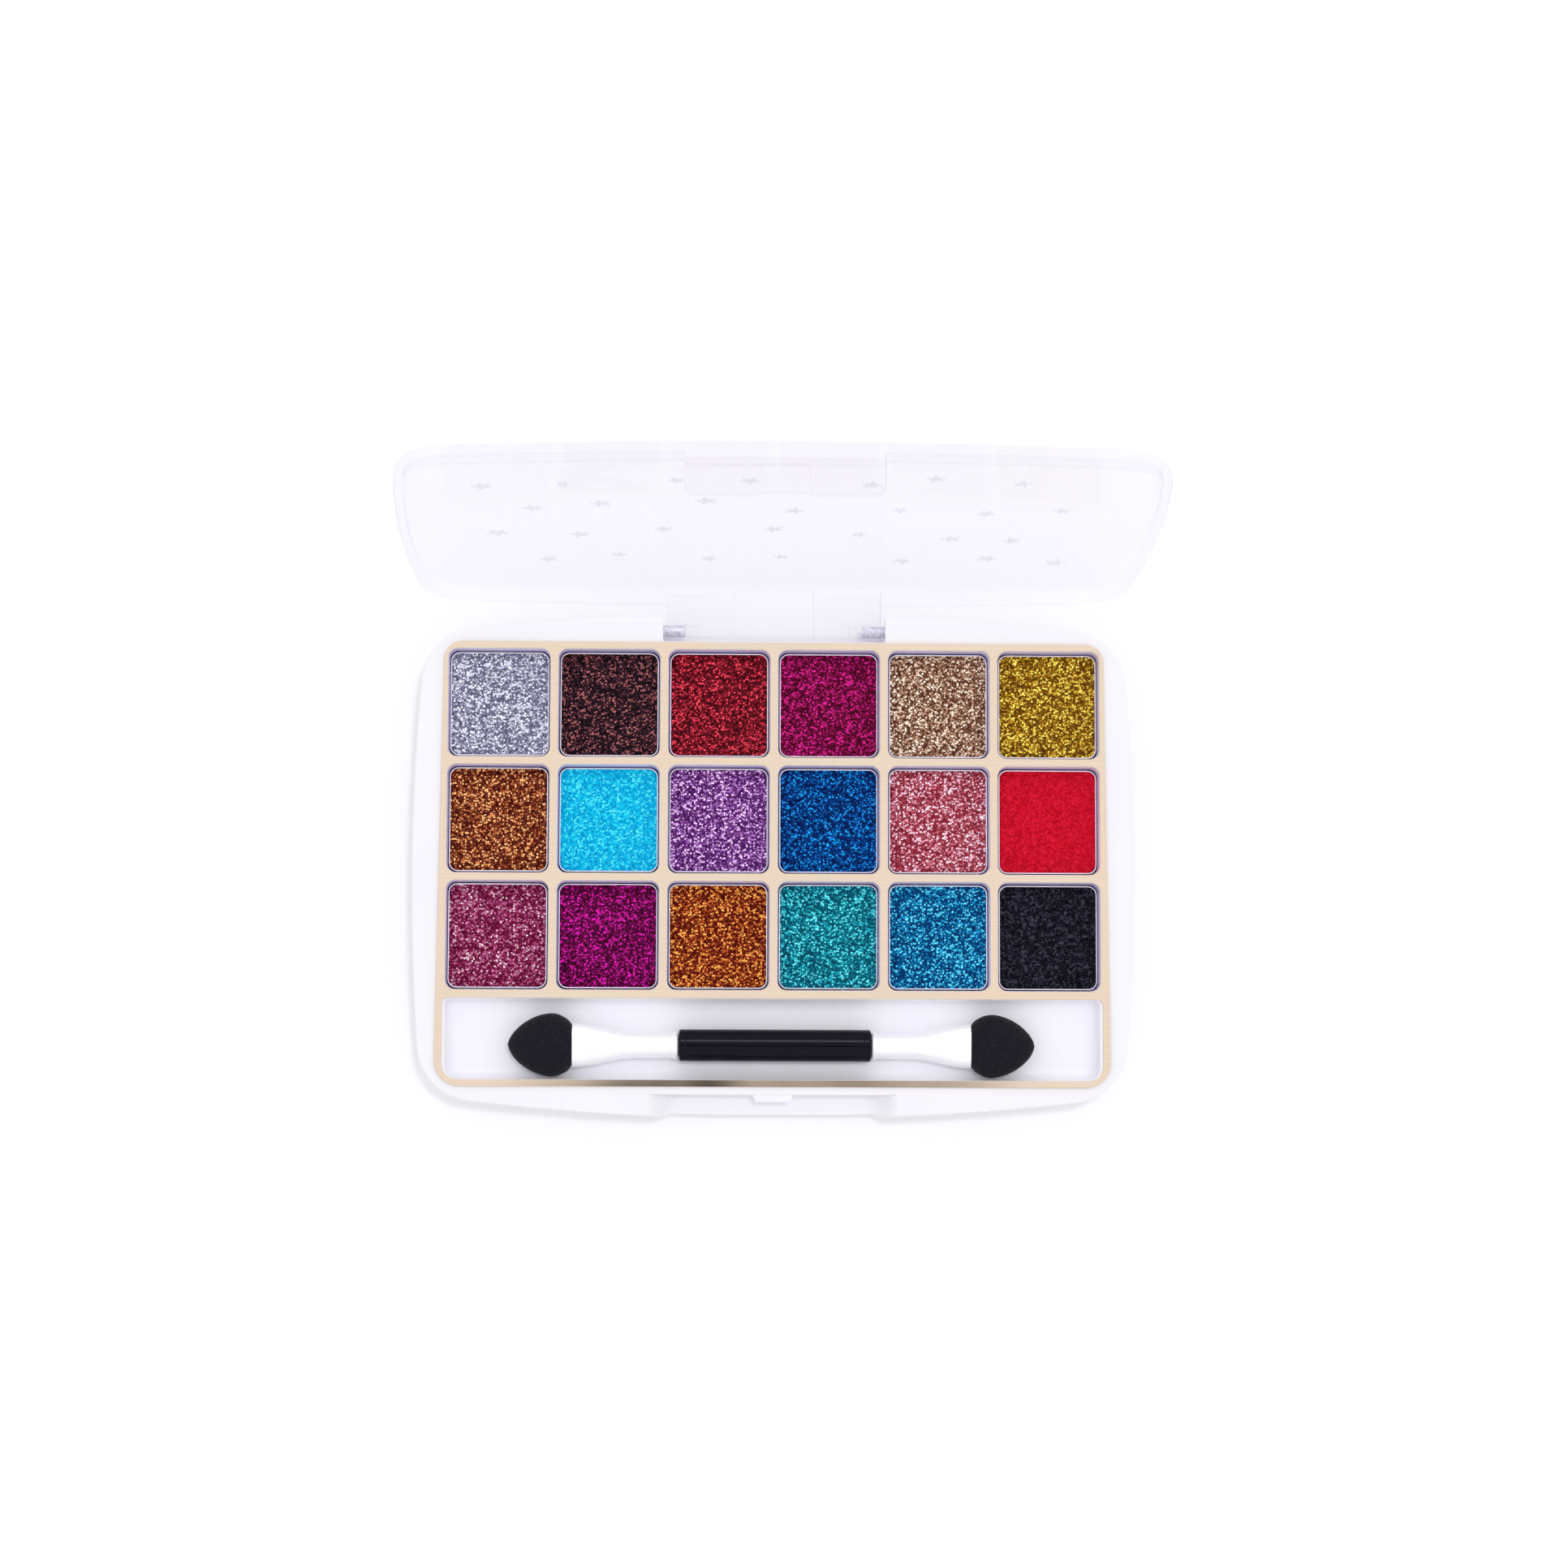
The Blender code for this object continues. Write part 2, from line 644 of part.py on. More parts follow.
def channel_tool():
    """The slot in the tab's inner face that passes the catch nib."""
    inner = lid_frame(TAB_INNER_Y, 0)[0]
    loop = [
        (-CHANNEL_HALF, inner - CHANNEL_DEPTH),
        (CHANNEL_HALF, inner - CHANNEL_DEPTH),
        (CHANNEL_HALF, inner + 1 * MM),
        (-CHANNEL_HALF, inner + 1 * MM),
    ]
    low, high = lid_frame(0, TAB_BOTTOM_Z - 1 * MM)[1], lid_frame(0, RIM_Z + 0.3 * MM)[1]
    return flat_solid("nib_channel", [loop], low, high)


def make_lid():
    clear = principled("lid_clear", CLEAR_PLASTIC, 0.04, transmission=1.0)
    lid = add_part("lid", lid_skin(), clear)
    lid.location = (0, AXIS_Y, AXIS_Z)
    lid.rotation_euler = (-OPEN_ANGLE, 0, 0)
    solidify(lid, LID_WALL)
    joined = [hinge_block_tool(), tab_tool()]
    for side in (-1, 1):
        middle = side * STOP_NUB_X
        joined.append(
            cylinder_x(
                "stop_nub",
                STOP_NUB_RADIUS,
                middle - STOP_NUB_WIDTH / 2,
                middle + STOP_NUB_WIDTH / 2,
                BLOCK_BACK - 0.2 * MM,
                BLOCK_BOTTOM + 0.15 * MM,
                segments=12,
            )
        )
    cut = [web_recess_tool(), channel_tool()]
    for side in (-1, 1):
        ends = sorted((side * LID_BORE_X, side * (BLOCK_HALF + 1 * MM)))
        cut.append(cylinder_x("lid_bore", LID_BORE_RADIUS, *ends, 0, 0))
    for mesh in joined:
        combine(lid, add_tool(mesh.name, mesh, parent=lid), "UNION")
    for mesh in cut:
        combine(lid, add_tool(mesh.name, mesh, parent=lid), "DIFFERENCE")


def make_hinge_pins():
    steel = principled("pin_steel", STEEL, 0.3, metallic=1.0)
    length = PIN_OUTER_X - PIN_INNER_X
    for side, name in ((-1, "left"), (1, "right")):
        mesh = cylinder_x("pin", PIN_RADIUS, -length / 2, length / 2, 0, 0, segments=16)
        pin = add_part(f"hinge_pin_{name}", mesh, steel)
        pin.location = (side * (PIN_INNER_X + PIN_OUTER_X) / 2, AXIS_Y, AXIS_Z)


# --- applicator --------------------------------------------------------------------------------


def make_handle(centre):
    """A turned rod with a tenon at each end for the ferrules."""
    half = HANDLE_LENGTH / 2
    upper = [
        (0, half + TENON_LENGTH),
        (TENON_RADIUS, half + TENON_LENGTH),
        (TENON_RADIUS, half),
        (HANDLE_RADIUS - HANDLE_ROUND, half),
    ]
    upper += [
        (r, z)
        for r, z in reversed(
            arc((HANDLE_RADIUS - HANDLE_ROUND, half - HANDLE_ROUND), HANDLE_ROUND, 0, 90, 3)
        )
    ][1:]
    profile = upper + [(r, -z) for r, z in reversed(upper)]
    bm = bmesh.new()
    points = [bm.verts.new((r, 0, z)) for r, z in profile]
    for first, second in zip(points, points[1:]):
        bm.edges.new((first, second))
    mesh = tidy_mesh(bm, "applicator_handle")
    handle = add_part("applicator_handle", mesh, principled("handle_black", GLOSS_BLACK, 0.15))
    screw = handle.modifiers.new("turned", "SCREW")
    screw.steps = screw.render_steps = 24
    screw.use_merge_vertices = True
    screw.merge_threshold = 1e-6
    handle.rotation_euler = (0, math.radians(90), 0)
    handle.parent = centre
    handle.location = (HANDLE_CENTRE_X, 0, 0)


def oval(x, half_width, half_height, squareness, points=20):
    """A ring across X: a circle at squareness 1 and a flatter, boxier oval above it."""
    ring = []
    for i in range(points):
        angle = 2 * math.pi * i / points
        c, s = math.cos(angle), math.sin(angle)
        y = math.copysign(abs(c) ** (1 / squareness), c) * half_width
        z = math.copysign(abs(s) ** (1 / squareness), s) * half_height
        ring.append((x, y, z))
    return ring


def ferrule_mesh(length):
    """A tube with a rolled bead at the handle, flared and flattened towards the sponge."""
    rings = [
        oval(0, FERRULE_RADIUS, FERRULE_RADIUS, 1),
        oval(0.2 * MM, FERRULE_RADIUS + FERRULE_BEAD, FERRULE_RADIUS + FERRULE_BEAD, 1),
        oval(0.6 * MM, FERRULE_RADIUS, FERRULE_RADIUS, 1),
        oval(0.4 * length, FERRULE_RADIUS, FERRULE_RADIUS, 1),
    ]
    steps = 4
    for i in range(1, steps + 1):
        share = ease(i / steps)
        width = FERRULE_RADIUS + share * (FERRULE_MOUTH_HALF_WIDTH - FERRULE_RADIUS)
        height = FERRULE_RADIUS + share * (FERRULE_MOUTH_HALF_HEIGHT - FERRULE_RADIUS)
        rings.append(oval((0.4 + 0.6 * i / steps) * length, width, height, 1 + 0.1 * share))
    return loft("ferrule", rings, cap_first=False, cap_last=False)


def sponge_mesh():
    """A teardrop pad, widest a third of the way from the ferrule, with a neck inside the ferrule."""
    neck_width = FERRULE_MOUTH_HALF_WIDTH - FERRULE_WALL - 0.25 * MM
    neck_height = FERRULE_MOUTH_HALF_HEIGHT - FERRULE_WALL - 0.25 * MM
    rings = [
        oval(-SPONGE_NECK_LENGTH, neck_width, neck_height, 1, 16),
        oval(GLUE_LINE, neck_width, neck_height, 1, 16),
        oval(GLUE_LINE * 2, SPONGE_ROOT * SPONGE_HALF_WIDTH, 0.80 * SPONGE_HALF_HEIGHT, 1.1, 16),
    ]
    steps = 9
    for i in range(1, steps):
        share = i / steps
        if share < SPONGE_WIDEST:
            size = SPONGE_ROOT + (1 - SPONGE_ROOT) * math.sin(math.pi / 2 * share / SPONGE_WIDEST)
        else:
            size = (1 - ((share - SPONGE_WIDEST) / (1 - SPONGE_WIDEST)) ** 1.7) ** 0.65
        height = SPONGE_HALF_HEIGHT * min(1.0, size) ** 0.7
        rings.append(oval(share * SPONGE_LENGTH, SPONGE_HALF_WIDTH * size, height, 1.1, 16))
    rings.append(oval(SPONGE_LENGTH, 0.6 * MM, 0.4 * MM, 1, 16))
    return loft("sponge", rings)


def make_applicator():
    centre = bpy.data.objects.new("applicator_centre", None)
    PARTS.objects.link(centre)
    centre.location = (0, APPLICATOR_Y, APPLICATOR_Z)
    make_handle(centre)
    silver = principled("ferrule_silver", SILVER, 0.18, metallic=1.0)
    foam = principled("sponge_foam", SPONGE_BLACK, 0.95)
    for side, name in ((-1, "left"), (1, "right")):
        turn = (0, 0, 0) if side > 0 else (0, 0, math.radians(180))
        length = FERRULE_LENGTHS[name]
        start = HANDLE_CENTRE_X + side * (HANDLE_LENGTH / 2 + GLUE_LINE)
        ferrule = add_part(f"ferrule_{name}", ferrule_mesh(length), silver)
        solidify(ferrule, FERRULE_WALL)
        sponge = add_part(f"sponge_{name}", sponge_mesh(), foam)
        for piece, x in ((ferrule, start), (sponge, start + side * length)):
            piece.parent = centre
            piece.location = (x, 0, 0)
            piece.rotation_euler = turn


clear_scene()
PARTS = new_collection("eyeshadow_palette")
TOOLS = new_collection("cutters")
make_base_case()
make_inner_tray()
make_face_plate()
make_pans_and_shadows()
make_lid()
make_hinge_pins()
make_applicator()
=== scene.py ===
"""Looks of the eyeshadow palette: fine meshes, materials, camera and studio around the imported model.

Lengths are in metres in the model's own frame: +X to the right, +Y to the hinge and +Z up.
"""

import math

import bmesh
import bpy
import numpy as np
from mathutils import Matrix, Vector, noise
from mathutils.geometry import delaunay_2d_cdt


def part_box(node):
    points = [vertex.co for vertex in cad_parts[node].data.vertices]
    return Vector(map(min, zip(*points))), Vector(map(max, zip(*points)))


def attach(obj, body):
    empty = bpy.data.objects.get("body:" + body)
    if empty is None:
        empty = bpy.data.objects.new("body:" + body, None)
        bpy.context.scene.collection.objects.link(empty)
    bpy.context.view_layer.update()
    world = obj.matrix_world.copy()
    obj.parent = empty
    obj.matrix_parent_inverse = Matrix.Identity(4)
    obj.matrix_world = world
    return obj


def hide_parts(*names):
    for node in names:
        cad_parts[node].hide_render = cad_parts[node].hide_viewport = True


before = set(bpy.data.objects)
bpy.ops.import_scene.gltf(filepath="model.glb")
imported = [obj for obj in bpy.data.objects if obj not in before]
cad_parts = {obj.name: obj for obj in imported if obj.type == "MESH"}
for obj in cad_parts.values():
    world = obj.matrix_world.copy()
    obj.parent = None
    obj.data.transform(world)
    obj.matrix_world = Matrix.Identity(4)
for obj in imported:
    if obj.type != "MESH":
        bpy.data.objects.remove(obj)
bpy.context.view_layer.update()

MM = 0.001
SEED = 7
ROWS, COLUMNS = 3, 6

# Places read from the frame
CASE_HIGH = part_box("base_case")[1]
TRAY_LOW, TRAY_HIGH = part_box("inner_tray")
PLATE_LOW, PLATE_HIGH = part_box("gold_face_plate")
PAN_LOW, PAN_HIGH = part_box("pan_r1c1")
PIN_LOW, PIN_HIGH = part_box("hinge_pin_right")
HANDLE_LOW, HANDLE_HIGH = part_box("applicator_handle")
HALF_WIDTH, HALF_DEPTH, RIM_Z = CASE_HIGH
AXIS_Y, AXIS_Z = (PIN_LOW.y + PIN_HIGH.y) / 2, (PIN_LOW.z + PIN_HIGH.z) / 2
APPLICATOR_Y, APPLICATOR_Z = (HANDLE_LOW.y + HANDLE_HIGH.y) / 2, (HANDLE_LOW.z + HANDLE_HIGH.z) / 2

# Case
CORNER_RADIUS = 8.0 * MM
CORNER_X = HALF_WIDTH - 9.0 * MM
CORNER_Y = HALF_DEPTH - 10.3 * MM
SKIRT_INSET = 5.5 * MM
SKIRT_HEIGHT = 7.0 * MM
RIM_ROUNDING = 0.3 * MM
PAST_CASE = 2.0 * MM
NOTCH_HALF = 15.5 * MM
NOTCH_FRONT_Y = 31.05 * MM
NOTCH_FLOOR_Z = 1.4 * MM
NOTCH_RADIUS = 0.3 * MM
SWING_RADIUS = 4.1 * MM
CASE_BORE_RADIUS = 0.84 * MM
BORE_END_GAP = 0.2 * MM
RECESS_FLAT_HALF = 13.6 * MM
RECESS_RAMP_HALF = 17.4 * MM
RECESS_EDGE_Y = -34.5 * MM
RECESS_WALL_Y = -31.8 * MM
LEDGE_INNER_Z = 4.5 * MM
LEDGE_OUTER_Z = 3.9 * MM
LEDGE_SWEEP_TOP = RIM_Z + 0.05 * MM
NIB_ROOT_HALF = 2.8 * MM
NIB_TIP_HALF = 2.3 * MM
NIB_LENGTH = 1.0 * MM
NIB_BURIED = 0.6 * MM
NIB_THICKNESS = 1.0 * MM
NIB_TOP_GAP = 0.15 * MM

# Tray, plate and pans
TRAY_RADIUS = 2.2 * MM
WELL_FLOOR_Z = 4.1 * MM
WELL_DRAFT = 0.14 * MM
WELL_DRAFT_Z = 6.5 * MM
TROUGH_FLOOR_Z = 3.9 * MM
TROUGH_BOTTOM_ROUND = 1.8 * MM
PLATE_BACK_HALF = 45.85 * MM
PLATE_FRONT_RADIUS = 3.5 * MM
PLATE_BACK_RADIUS = 2.6 * MM
PLATE_EDGE = 0.05 * MM
PLATE_SHARP_ANGLE = 15
PLATE_TROUGH_GAP = 0.3 * MM
WINDOW_HALF_WIDTH = 7.125 * MM
WINDOW_HALF_DEPTH = 7.575 * MM
WINDOW_RADIUS = 1.35 * MM
TROUGH_HALF = 45.3 * MM
TROUGH_BACK_Y = -18.6 * MM
TROUGH_FRONT_Y = -29.85 * MM
TROUGH_BACK_RADIUS = 0.8 * MM
TROUGH_FRONT_RADIUS = 2.1 * MM
LIP = 0.05 * MM
PAN_RADIUS = 1.25 * MM
PAN_WALL = 0.17 * MM
PAN_FOOT = 0.3 * MM

# Lid, closed, counted from the hinge axis
OPEN_ANGLE = math.radians(-96.6)
LID_RIM_Z = 8.75 * MM
LID_EDGE_DEPTH = 2.8 * MM
LID_FILLET = 2.0 * MM
LID_CROWN = 1.0 * MM
LID_WALL = 1.2 * MM
BLOCK_HALF = 15.0 * MM
BLOCK_FRONT = -1.6 * MM
BLOCK_BACK = 2.15 * MM
BLOCK_BOTTOM = -1.45 * MM
BLOCK_TOP_INSET = 0.35 * MM
BLOCK_SHOULDER = 1.4 * MM
WEB_HALF = 5.6 * MM
WEB_FRONT = 0.6 * MM
WEB_BOTTOM = -0.8 * MM
LID_BORE_RADIUS = 0.87 * MM
LID_BORE_X = 10.5 * MM
STOP_NUB_X = 7.9 * MM
STOP_NUB_WIDTH = 1.0 * MM
STOP_NUB_RADIUS = 0.35 * MM
STOP_NUB_PLACE = (BLOCK_BACK - 0.2 * MM, BLOCK_BOTTOM + 0.15 * MM)
TAB_HALF = 12.45 * MM
TAB_INNER_Y = -32.1 * MM
TAB_OUTER_Y = -34.6 * MM
TAB_BOTTOM_Z = 4.8 * MM
TAB_TOP_Z = 9.8 * MM
TAB_RADIUS = 1.2 * MM
TAB_ROOT_Y = -30.6 * MM
TAB_ROOT_LOW_Z = 9.15 * MM
TAB_ROOT_HIGH_Z = 10.7 * MM
CHANNEL_HALF = 3.1 * MM
CHANNEL_DEPTH = 1.0 * MM
CHANNEL_RADIUS = 0.1 * MM

# Stars on the lid
STAR_ROWS, STAR_COLUMNS = 4, 7
STAR_STEP = 12.0 * MM
STAR_SCATTER = 2.5 * MM
STAR_SIZES = (1.2 * MM, 1.8 * MM)
STAR_WAIST = 0.42
STAR_TURN = 0.5
STAR_SUNK, STAR_PROUD = 0.08 * MM, 0.10 * MM

# Pins
PIN_SIDES, PIN_STEPS = 72, 90
PIN_RIDGES = 18
PIN_TURNS = 4.5
PIN_GROOVE = 0.05 * MM
PIN_END_BEVEL = 0.08 * MM

# Applicator
HANDLE_LENGTH = 26.6 * MM
HANDLE_ROUND = 0.35 * MM
HANDLE_NECK_GAP = 0.1 * MM
FERRULE_RADIUS = 1.8 * MM
FERRULE_WALL = 0.2 * MM
FERRULE_MOUTH_HALF_WIDTH = 3.1 * MM
FERRULE_MOUTH_HALF_HEIGHT = 1.55 * MM
FERRULE_BEAD = 0.15 * MM
FERRULE_BEAD_WIDTH = 0.6 * MM
FERRULE_STRAIGHT = 0.4
FERRULE_GAP = 0.1 * MM
SPONGE_LENGTH = 8.9 * MM
SPONGE_HALF_WIDTH = 4.4 * MM
SPONGE_HALF_HEIGHT = 2.0 * MM
SPONGE_ROOT = 0.72
SPONGE_WIDEST = 0.32
SPONGE_DENTS = 0.10 * MM
SPONGE_LUMP, SPONGE_PORE = 1.6 * MM, 0.35 * MM
SPONGE_BURIED = 1.5 * MM
SPONGE_NECK_GAP = 0.15 * MM

# Glitter: colours of the dark, middling, light and glinting flakes of each shade. Dark to light is partly
# the flakes' own colours and partly painted light of lit and shaded flakes; the glinting colour is a
# painted highlight.
GLITTER = {
    "r1c1": ((0.11, 0.12, 0.18), (0.33, 0.34, 0.44), (0.68, 0.68, 0.79), (1.00, 1.00, 1.00)),
    "r1c2": ((0.007, 0.003, 0.006), (0.03, 0.013, 0.02), (0.12, 0.03, 0.035), (0.46, 0.15, 0.14)),
    "r1c3": ((0.05, 0.002, 0.004), (0.16, 0.009, 0.019), (0.47, 0.012, 0.035), (0.95, 0.08, 0.11)),
    "r1c4": ((0.06, 0.001, 0.012), (0.18, 0.004, 0.048), (0.42, 0.01, 0.13), (0.85, 0.02, 0.34)),
    "r1c5": ((0.09, 0.03, 0.02), (0.33, 0.17, 0.09), (0.74, 0.54, 0.37), (1.00, 0.98, 0.82)),
    "r1c6": ((0.10, 0.04, 0.002), (0.33, 0.15, 0.01), (0.70, 0.46, 0.03), (1.00, 0.93, 0.18)),
    "r2c1": ((0.06, 0.006, 0.003), (0.20, 0.04, 0.02), (0.60, 0.16, 0.035), (1.00, 0.66, 0.27)),
    "r2c2": ((0.001, 0.31, 0.60), (0.002, 0.45, 0.73), (0.004, 0.57, 0.77), (0.10, 0.84, 0.92)),
    "r2c3": ((0.06, 0.01, 0.09), (0.20, 0.05, 0.26), (0.53, 0.24, 0.63), (1.00, 0.76, 1.00)),
    "r2c4": ((0.001, 0.010, 0.07), (0.001, 0.04, 0.19), (0.002, 0.12, 0.46), (0.015, 0.42, 0.92)),
    "r2c5": ((0.20, 0.015, 0.03), (0.45, 0.08, 0.10), (0.71, 0.30, 0.40), (1.00, 0.90, 0.98)),
    "r2c6": ((0.44, 0.001, 0.010), (0.56, 0.003, 0.020), (0.60, 0.003, 0.022), (0.70, 0.012, 0.045)),
    "r3c1": ((0.11, 0.003, 0.025), (0.25, 0.022, 0.09), (0.52, 0.12, 0.28), (0.78, 0.55, 0.55)),
    "r3c2": ((0.045, 0.001, 0.016), (0.14, 0.003, 0.06), (0.36, 0.008, 0.18), (0.85, 0.015, 0.50)),
    "r3c3": ((0.07, 0.004, 0.002), (0.24, 0.03, 0.009), (0.69, 0.17, 0.025), (1.00, 0.55, 0.11)),
    "r3c4": ((0.002, 0.06, 0.095), (0.004, 0.20, 0.27), (0.012, 0.48, 0.55), (0.20, 0.92, 0.93)),
    "r3c5": ((0.001, 0.03, 0.11), (0.003, 0.12, 0.32), (0.010, 0.40, 0.66), (0.18, 0.86, 1.00)),
    "r3c6": ((0.001, 0.001, 0.003), (0.006, 0.006, 0.012), (0.014, 0.014, 0.024), (0.045, 0.045, 0.07)),
}
FINE_SHADES = ("r2c2", "r2c6", "r3c6")
SPECKLED_SHADES = ("r3c1",)
FLAKE = 0.26 * MM
CRUST_STEP = 0.33 * MM
FINE_CRUST_STEP = 0.27 * MM
CRUST_RELIEF = 0.07 * MM
CRUST_SWELL = 0.05 * MM
CRUST_DROP = 0.10 * MM
CAKE_GAP = 0.01 * MM
CAKE_FOOT_GAP = 0.05 * MM
STRAYS = 46
STRAY_SPREAD = 0.12 * MM
STRAY_LIFT = 0.03 * MM

# Looks
UNSTRETCHED = (1, 1, 1)
LID_FLOW = (1.0, 3, (40, 90, 40))
LID_GLOSS = 0.04
LID_ABSORPTION = 5
LID_TINT = (0.467, 0.300, 0.843, 1)
# Painted shade on the wells' upright sides: the darker colour at their foot and the lighter one at the top
WELL_WALL_PAINTED_SHADE = ((0.46, 0.38, 0.66, 1), (0.90, 0.83, 1.0, 1))

# Studio
CAMERA_PLACE = Vector((-11.35, -42.44, 535.6)) * MM
CAMERA_AIM = Vector((1.40, 11.16, 8.6)) * MM
CAMERA_LENS = 87.69
CAMERA_ROLL = 0.003
FLAG_PLACE = Vector((9, -60, 545)) * MM
FLAG_WIDTH, FLAG_DEPTH = 150 * MM, 95 * MM
FLAG_FADE_START, FLAG_FADE_END = 45 * MM, 74 * MM
FLOOR_SIZE = 6.0
FLOOR_GAP = 0.02 * MM
KEY_PLACE = (0.135, 0.095, 1.2)
KEY_SIZE = (0.1, 0.1)
KEY_POWER = 2.4
STRIP_PLACE, STRIP_TARGET = (0, 0.50, 0.86), (0, -0.024, 0.006)
STRIP_SIZE = (0.9, 0.20)
STRIP_POWER = 3.0
WORLD_STRENGTH = 0.995

ALONG_X = Matrix(((0, 0, 1, 0), (1, 0, 0, 0), (0, 1, 0, 0), (0, 0, 0, 1)))
ALONG_Y = Matrix.Rotation(math.radians(90), 4, "X")
LID_PLACE = Matrix.Translation((0, AXIS_Y, AXIS_Z)) @ Matrix.Rotation(OPEN_ANGLE, 4, "X")


# --- outlines ---


def arc(centre, radius, start, end, steps):
    """Points on an arc, both ends included. Angles are in degrees."""
    angles = [math.radians(start + (end - start) * i / steps) for i in range(steps + 1)]
    return [(centre[0] + radius * math.cos(a), centre[1] + radius * math.sin(a)) for a in angles]


def rounded_quad(centre_x, halves, edges, radii, steps=8):
    """A four-sided loop with round corners: (front, back) half-widths, Y of the edges and corner radii."""
    (front_half, back_half), (front_y, back_y), (front_radius, back_radius) = halves, edges, radii
    back_x, back = back_half - back_radius, back_y - back_radius
    front_x, front = front_half - front_radius, front_y + front_radius
    loop = arc((centre_x + back_x, back), back_radius, 0, 90, steps)
    loop += arc((centre_x - back_x, back), back_radius, 90, 180, steps)
    loop += arc((centre_x - front_x, front), front_radius, 180, 270, steps)
    loop += arc((centre_x + front_x, front), front_radius, 270, 360, steps)
    return loop


def rounded_rectangle(centre_x, centre_y, half_width, half_depth, radius, steps=8):
    edges = (centre_y - half_depth, centre_y + half_depth)
    return rounded_quad(centre_x, (half_width, half_width), edges, (radius, radius), steps)


def bulge_radius(half_span, rise, corner_radius):
    """Radius of a side's bulge that meets the corner arcs tangentially."""
    return (half_span**2 + rise**2 - corner_radius**2) / (2 * (rise - corner_radius))


def case_outline(inset=0.0):
    """The case's outline at the rim, moved inwards by inset: four bulged sides and four round corners."""
    side = bulge_radius(CORNER_Y, HALF_WIDTH - CORNER_X, CORNER_RADIUS)
    back = bulge_radius(CORNER_X, HALF_DEPTH - CORNER_Y, CORNER_RADIUS)
    side_centre, back_centre = (HALF_WIDTH - side, 0), (0, HALF_DEPTH - back)
    side_end = math.degrees(math.atan2(CORNER_Y, CORNER_X - side_centre[0]))
    back_start = math.degrees(math.atan2(CORNER_Y - back_centre[1], CORNER_X))
    quarter = arc(side_centre, side - inset, 0, side_end, 8)
    quarter += arc((CORNER_X, CORNER_Y), CORNER_RADIUS - inset, side_end, back_start, 14)[1:]
    quarter += arc(back_centre, back - inset, back_start, 90, 14)[1:]
    left = [(-x, y) for x, y in reversed(quarter)][1:]
    upper = quarter + left
    return upper + [(x, -y) for x, y in reversed(upper)][1:-1]


def turns(degrees, steps):
    """Angles from nought to the whole turn, in radians."""
    return [math.radians(degrees * i / steps) for i in range(steps + 1)]


def at_height(loop, z):
    return [(x, y, z) for x, y in loop]


def ease(share):
    return share * share * (3 - 2 * share)


# --- meshes ---


def plain_mesh(bm, name):
    mesh = bpy.data.meshes.new(name)
    bm.to_mesh(mesh)
    bm.free()
    return mesh


def smoothed(mesh, sharp_angle=35):
    mesh.shade_smooth()
    mesh.set_sharp_from_angle(angle=math.radians(sharp_angle))
    return mesh


def finished(bm, name, transform=None):
    if transform is not None:
        bm.transform(transform)
    return smoothed(plain_mesh(bm, name))


def add_loft(bm, rings, cap_first=True, cap_last=True):
    """A skin over rings of equal point count. Counter-clockwise rings that rise face outwards."""
    rows = [[bm.verts.new(point) for point in ring] for ring in rings]
    for lower, upper in zip(rows, rows[1:]):
        for i in range(len(lower)):
            j = (i + 1) % len(lower)
            bm.faces.new((lower[i], lower[j], upper[j], upper[i]))
    if cap_first:
        bm.faces.new(reversed(rows[0]))
    if cap_last:
        bm.faces.new(rows[-1])


def loft(name, rings, cap_first=True, cap_last=True, transform=None):
    bm = bmesh.new()
    add_loft(bm, rings, cap_first, cap_last)
    return finished(bm, name, transform)


def flat_solid(name, loops, low, high, transform=None):
    """A flat outline with any holes, filled, from height low to high."""
    curve = bpy.data.curves.new(name, "CURVE")
    curve.dimensions = "2D"
    curve.fill_mode = "BOTH"
    curve.extrude = (high - low) / 2
    for loop in loops:
        spline = curve.splines.new("POLY")
        spline.points.add(len(loop) - 1)
        spline.use_cyclic_u = True
        for point, (x, y) in zip(spline.points, loop):
            point.co = (x, y, 0, 1)
    drawn = bpy.data.objects.new(name, curve)
    bpy.context.scene.collection.objects.link(drawn)
    evaluated = drawn.evaluated_get(bpy.context.evaluated_depsgraph_get())
    bm = bmesh.new()
    bm.from_mesh(bpy.data.meshes.new_from_object(evaluated))
    bpy.data.objects.remove(drawn)
    bmesh.ops.remove_doubles(bm, verts=bm.verts, dist=1e-7)
    bmesh.ops.translate(bm, verts=bm.verts, vec=(0, 0, (high + low) / 2))
    bmesh.ops.recalc_face_normals(bm, faces=bm.faces)
    return finished(bm, name, transform)


def cylinder_x(name, radius, x0, x1, y, z, segments=48):
    bm = bmesh.new()
    bmesh.ops.create_cone(
        bm, cap_ends=True, segments=segments, radius1=radius, radius2=radius, depth=x1 - x0
    )
    place = Matrix.Translation(((x0 + x1) / 2, y, z)) @ Matrix.Rotation(math.radians(90), 4, "Y")
    return finished(bm, name, place)


def modified(mesh, modifiers, sharp_angle=35):
    """The mesh with (type, settings) modifiers applied, in order."""
    obj = bpy.data.objects.new(mesh.name, mesh)
    bpy.context.scene.collection.objects.link(obj)
    for kind, settings in modifiers:
        modifier = obj.modifiers.new(kind, kind)
        for key, value in settings.items():
            setattr(modifier, key, value)
    evaluated = obj.evaluated_get(bpy.context.evaluated_depsgraph_get())
    result = bpy.data.meshes.new_from_object(evaluated)
    bpy.data.objects.remove(obj)
    return smoothed(result, sharp_angle)


def hollowed(mesh, thickness):
    """The mesh as a shell whose wall grows inwards."""
    wall = {"thickness": thickness, "offset": -1, "use_even_offset": True}
    return modified(mesh, [("SOLIDIFY", wall)])


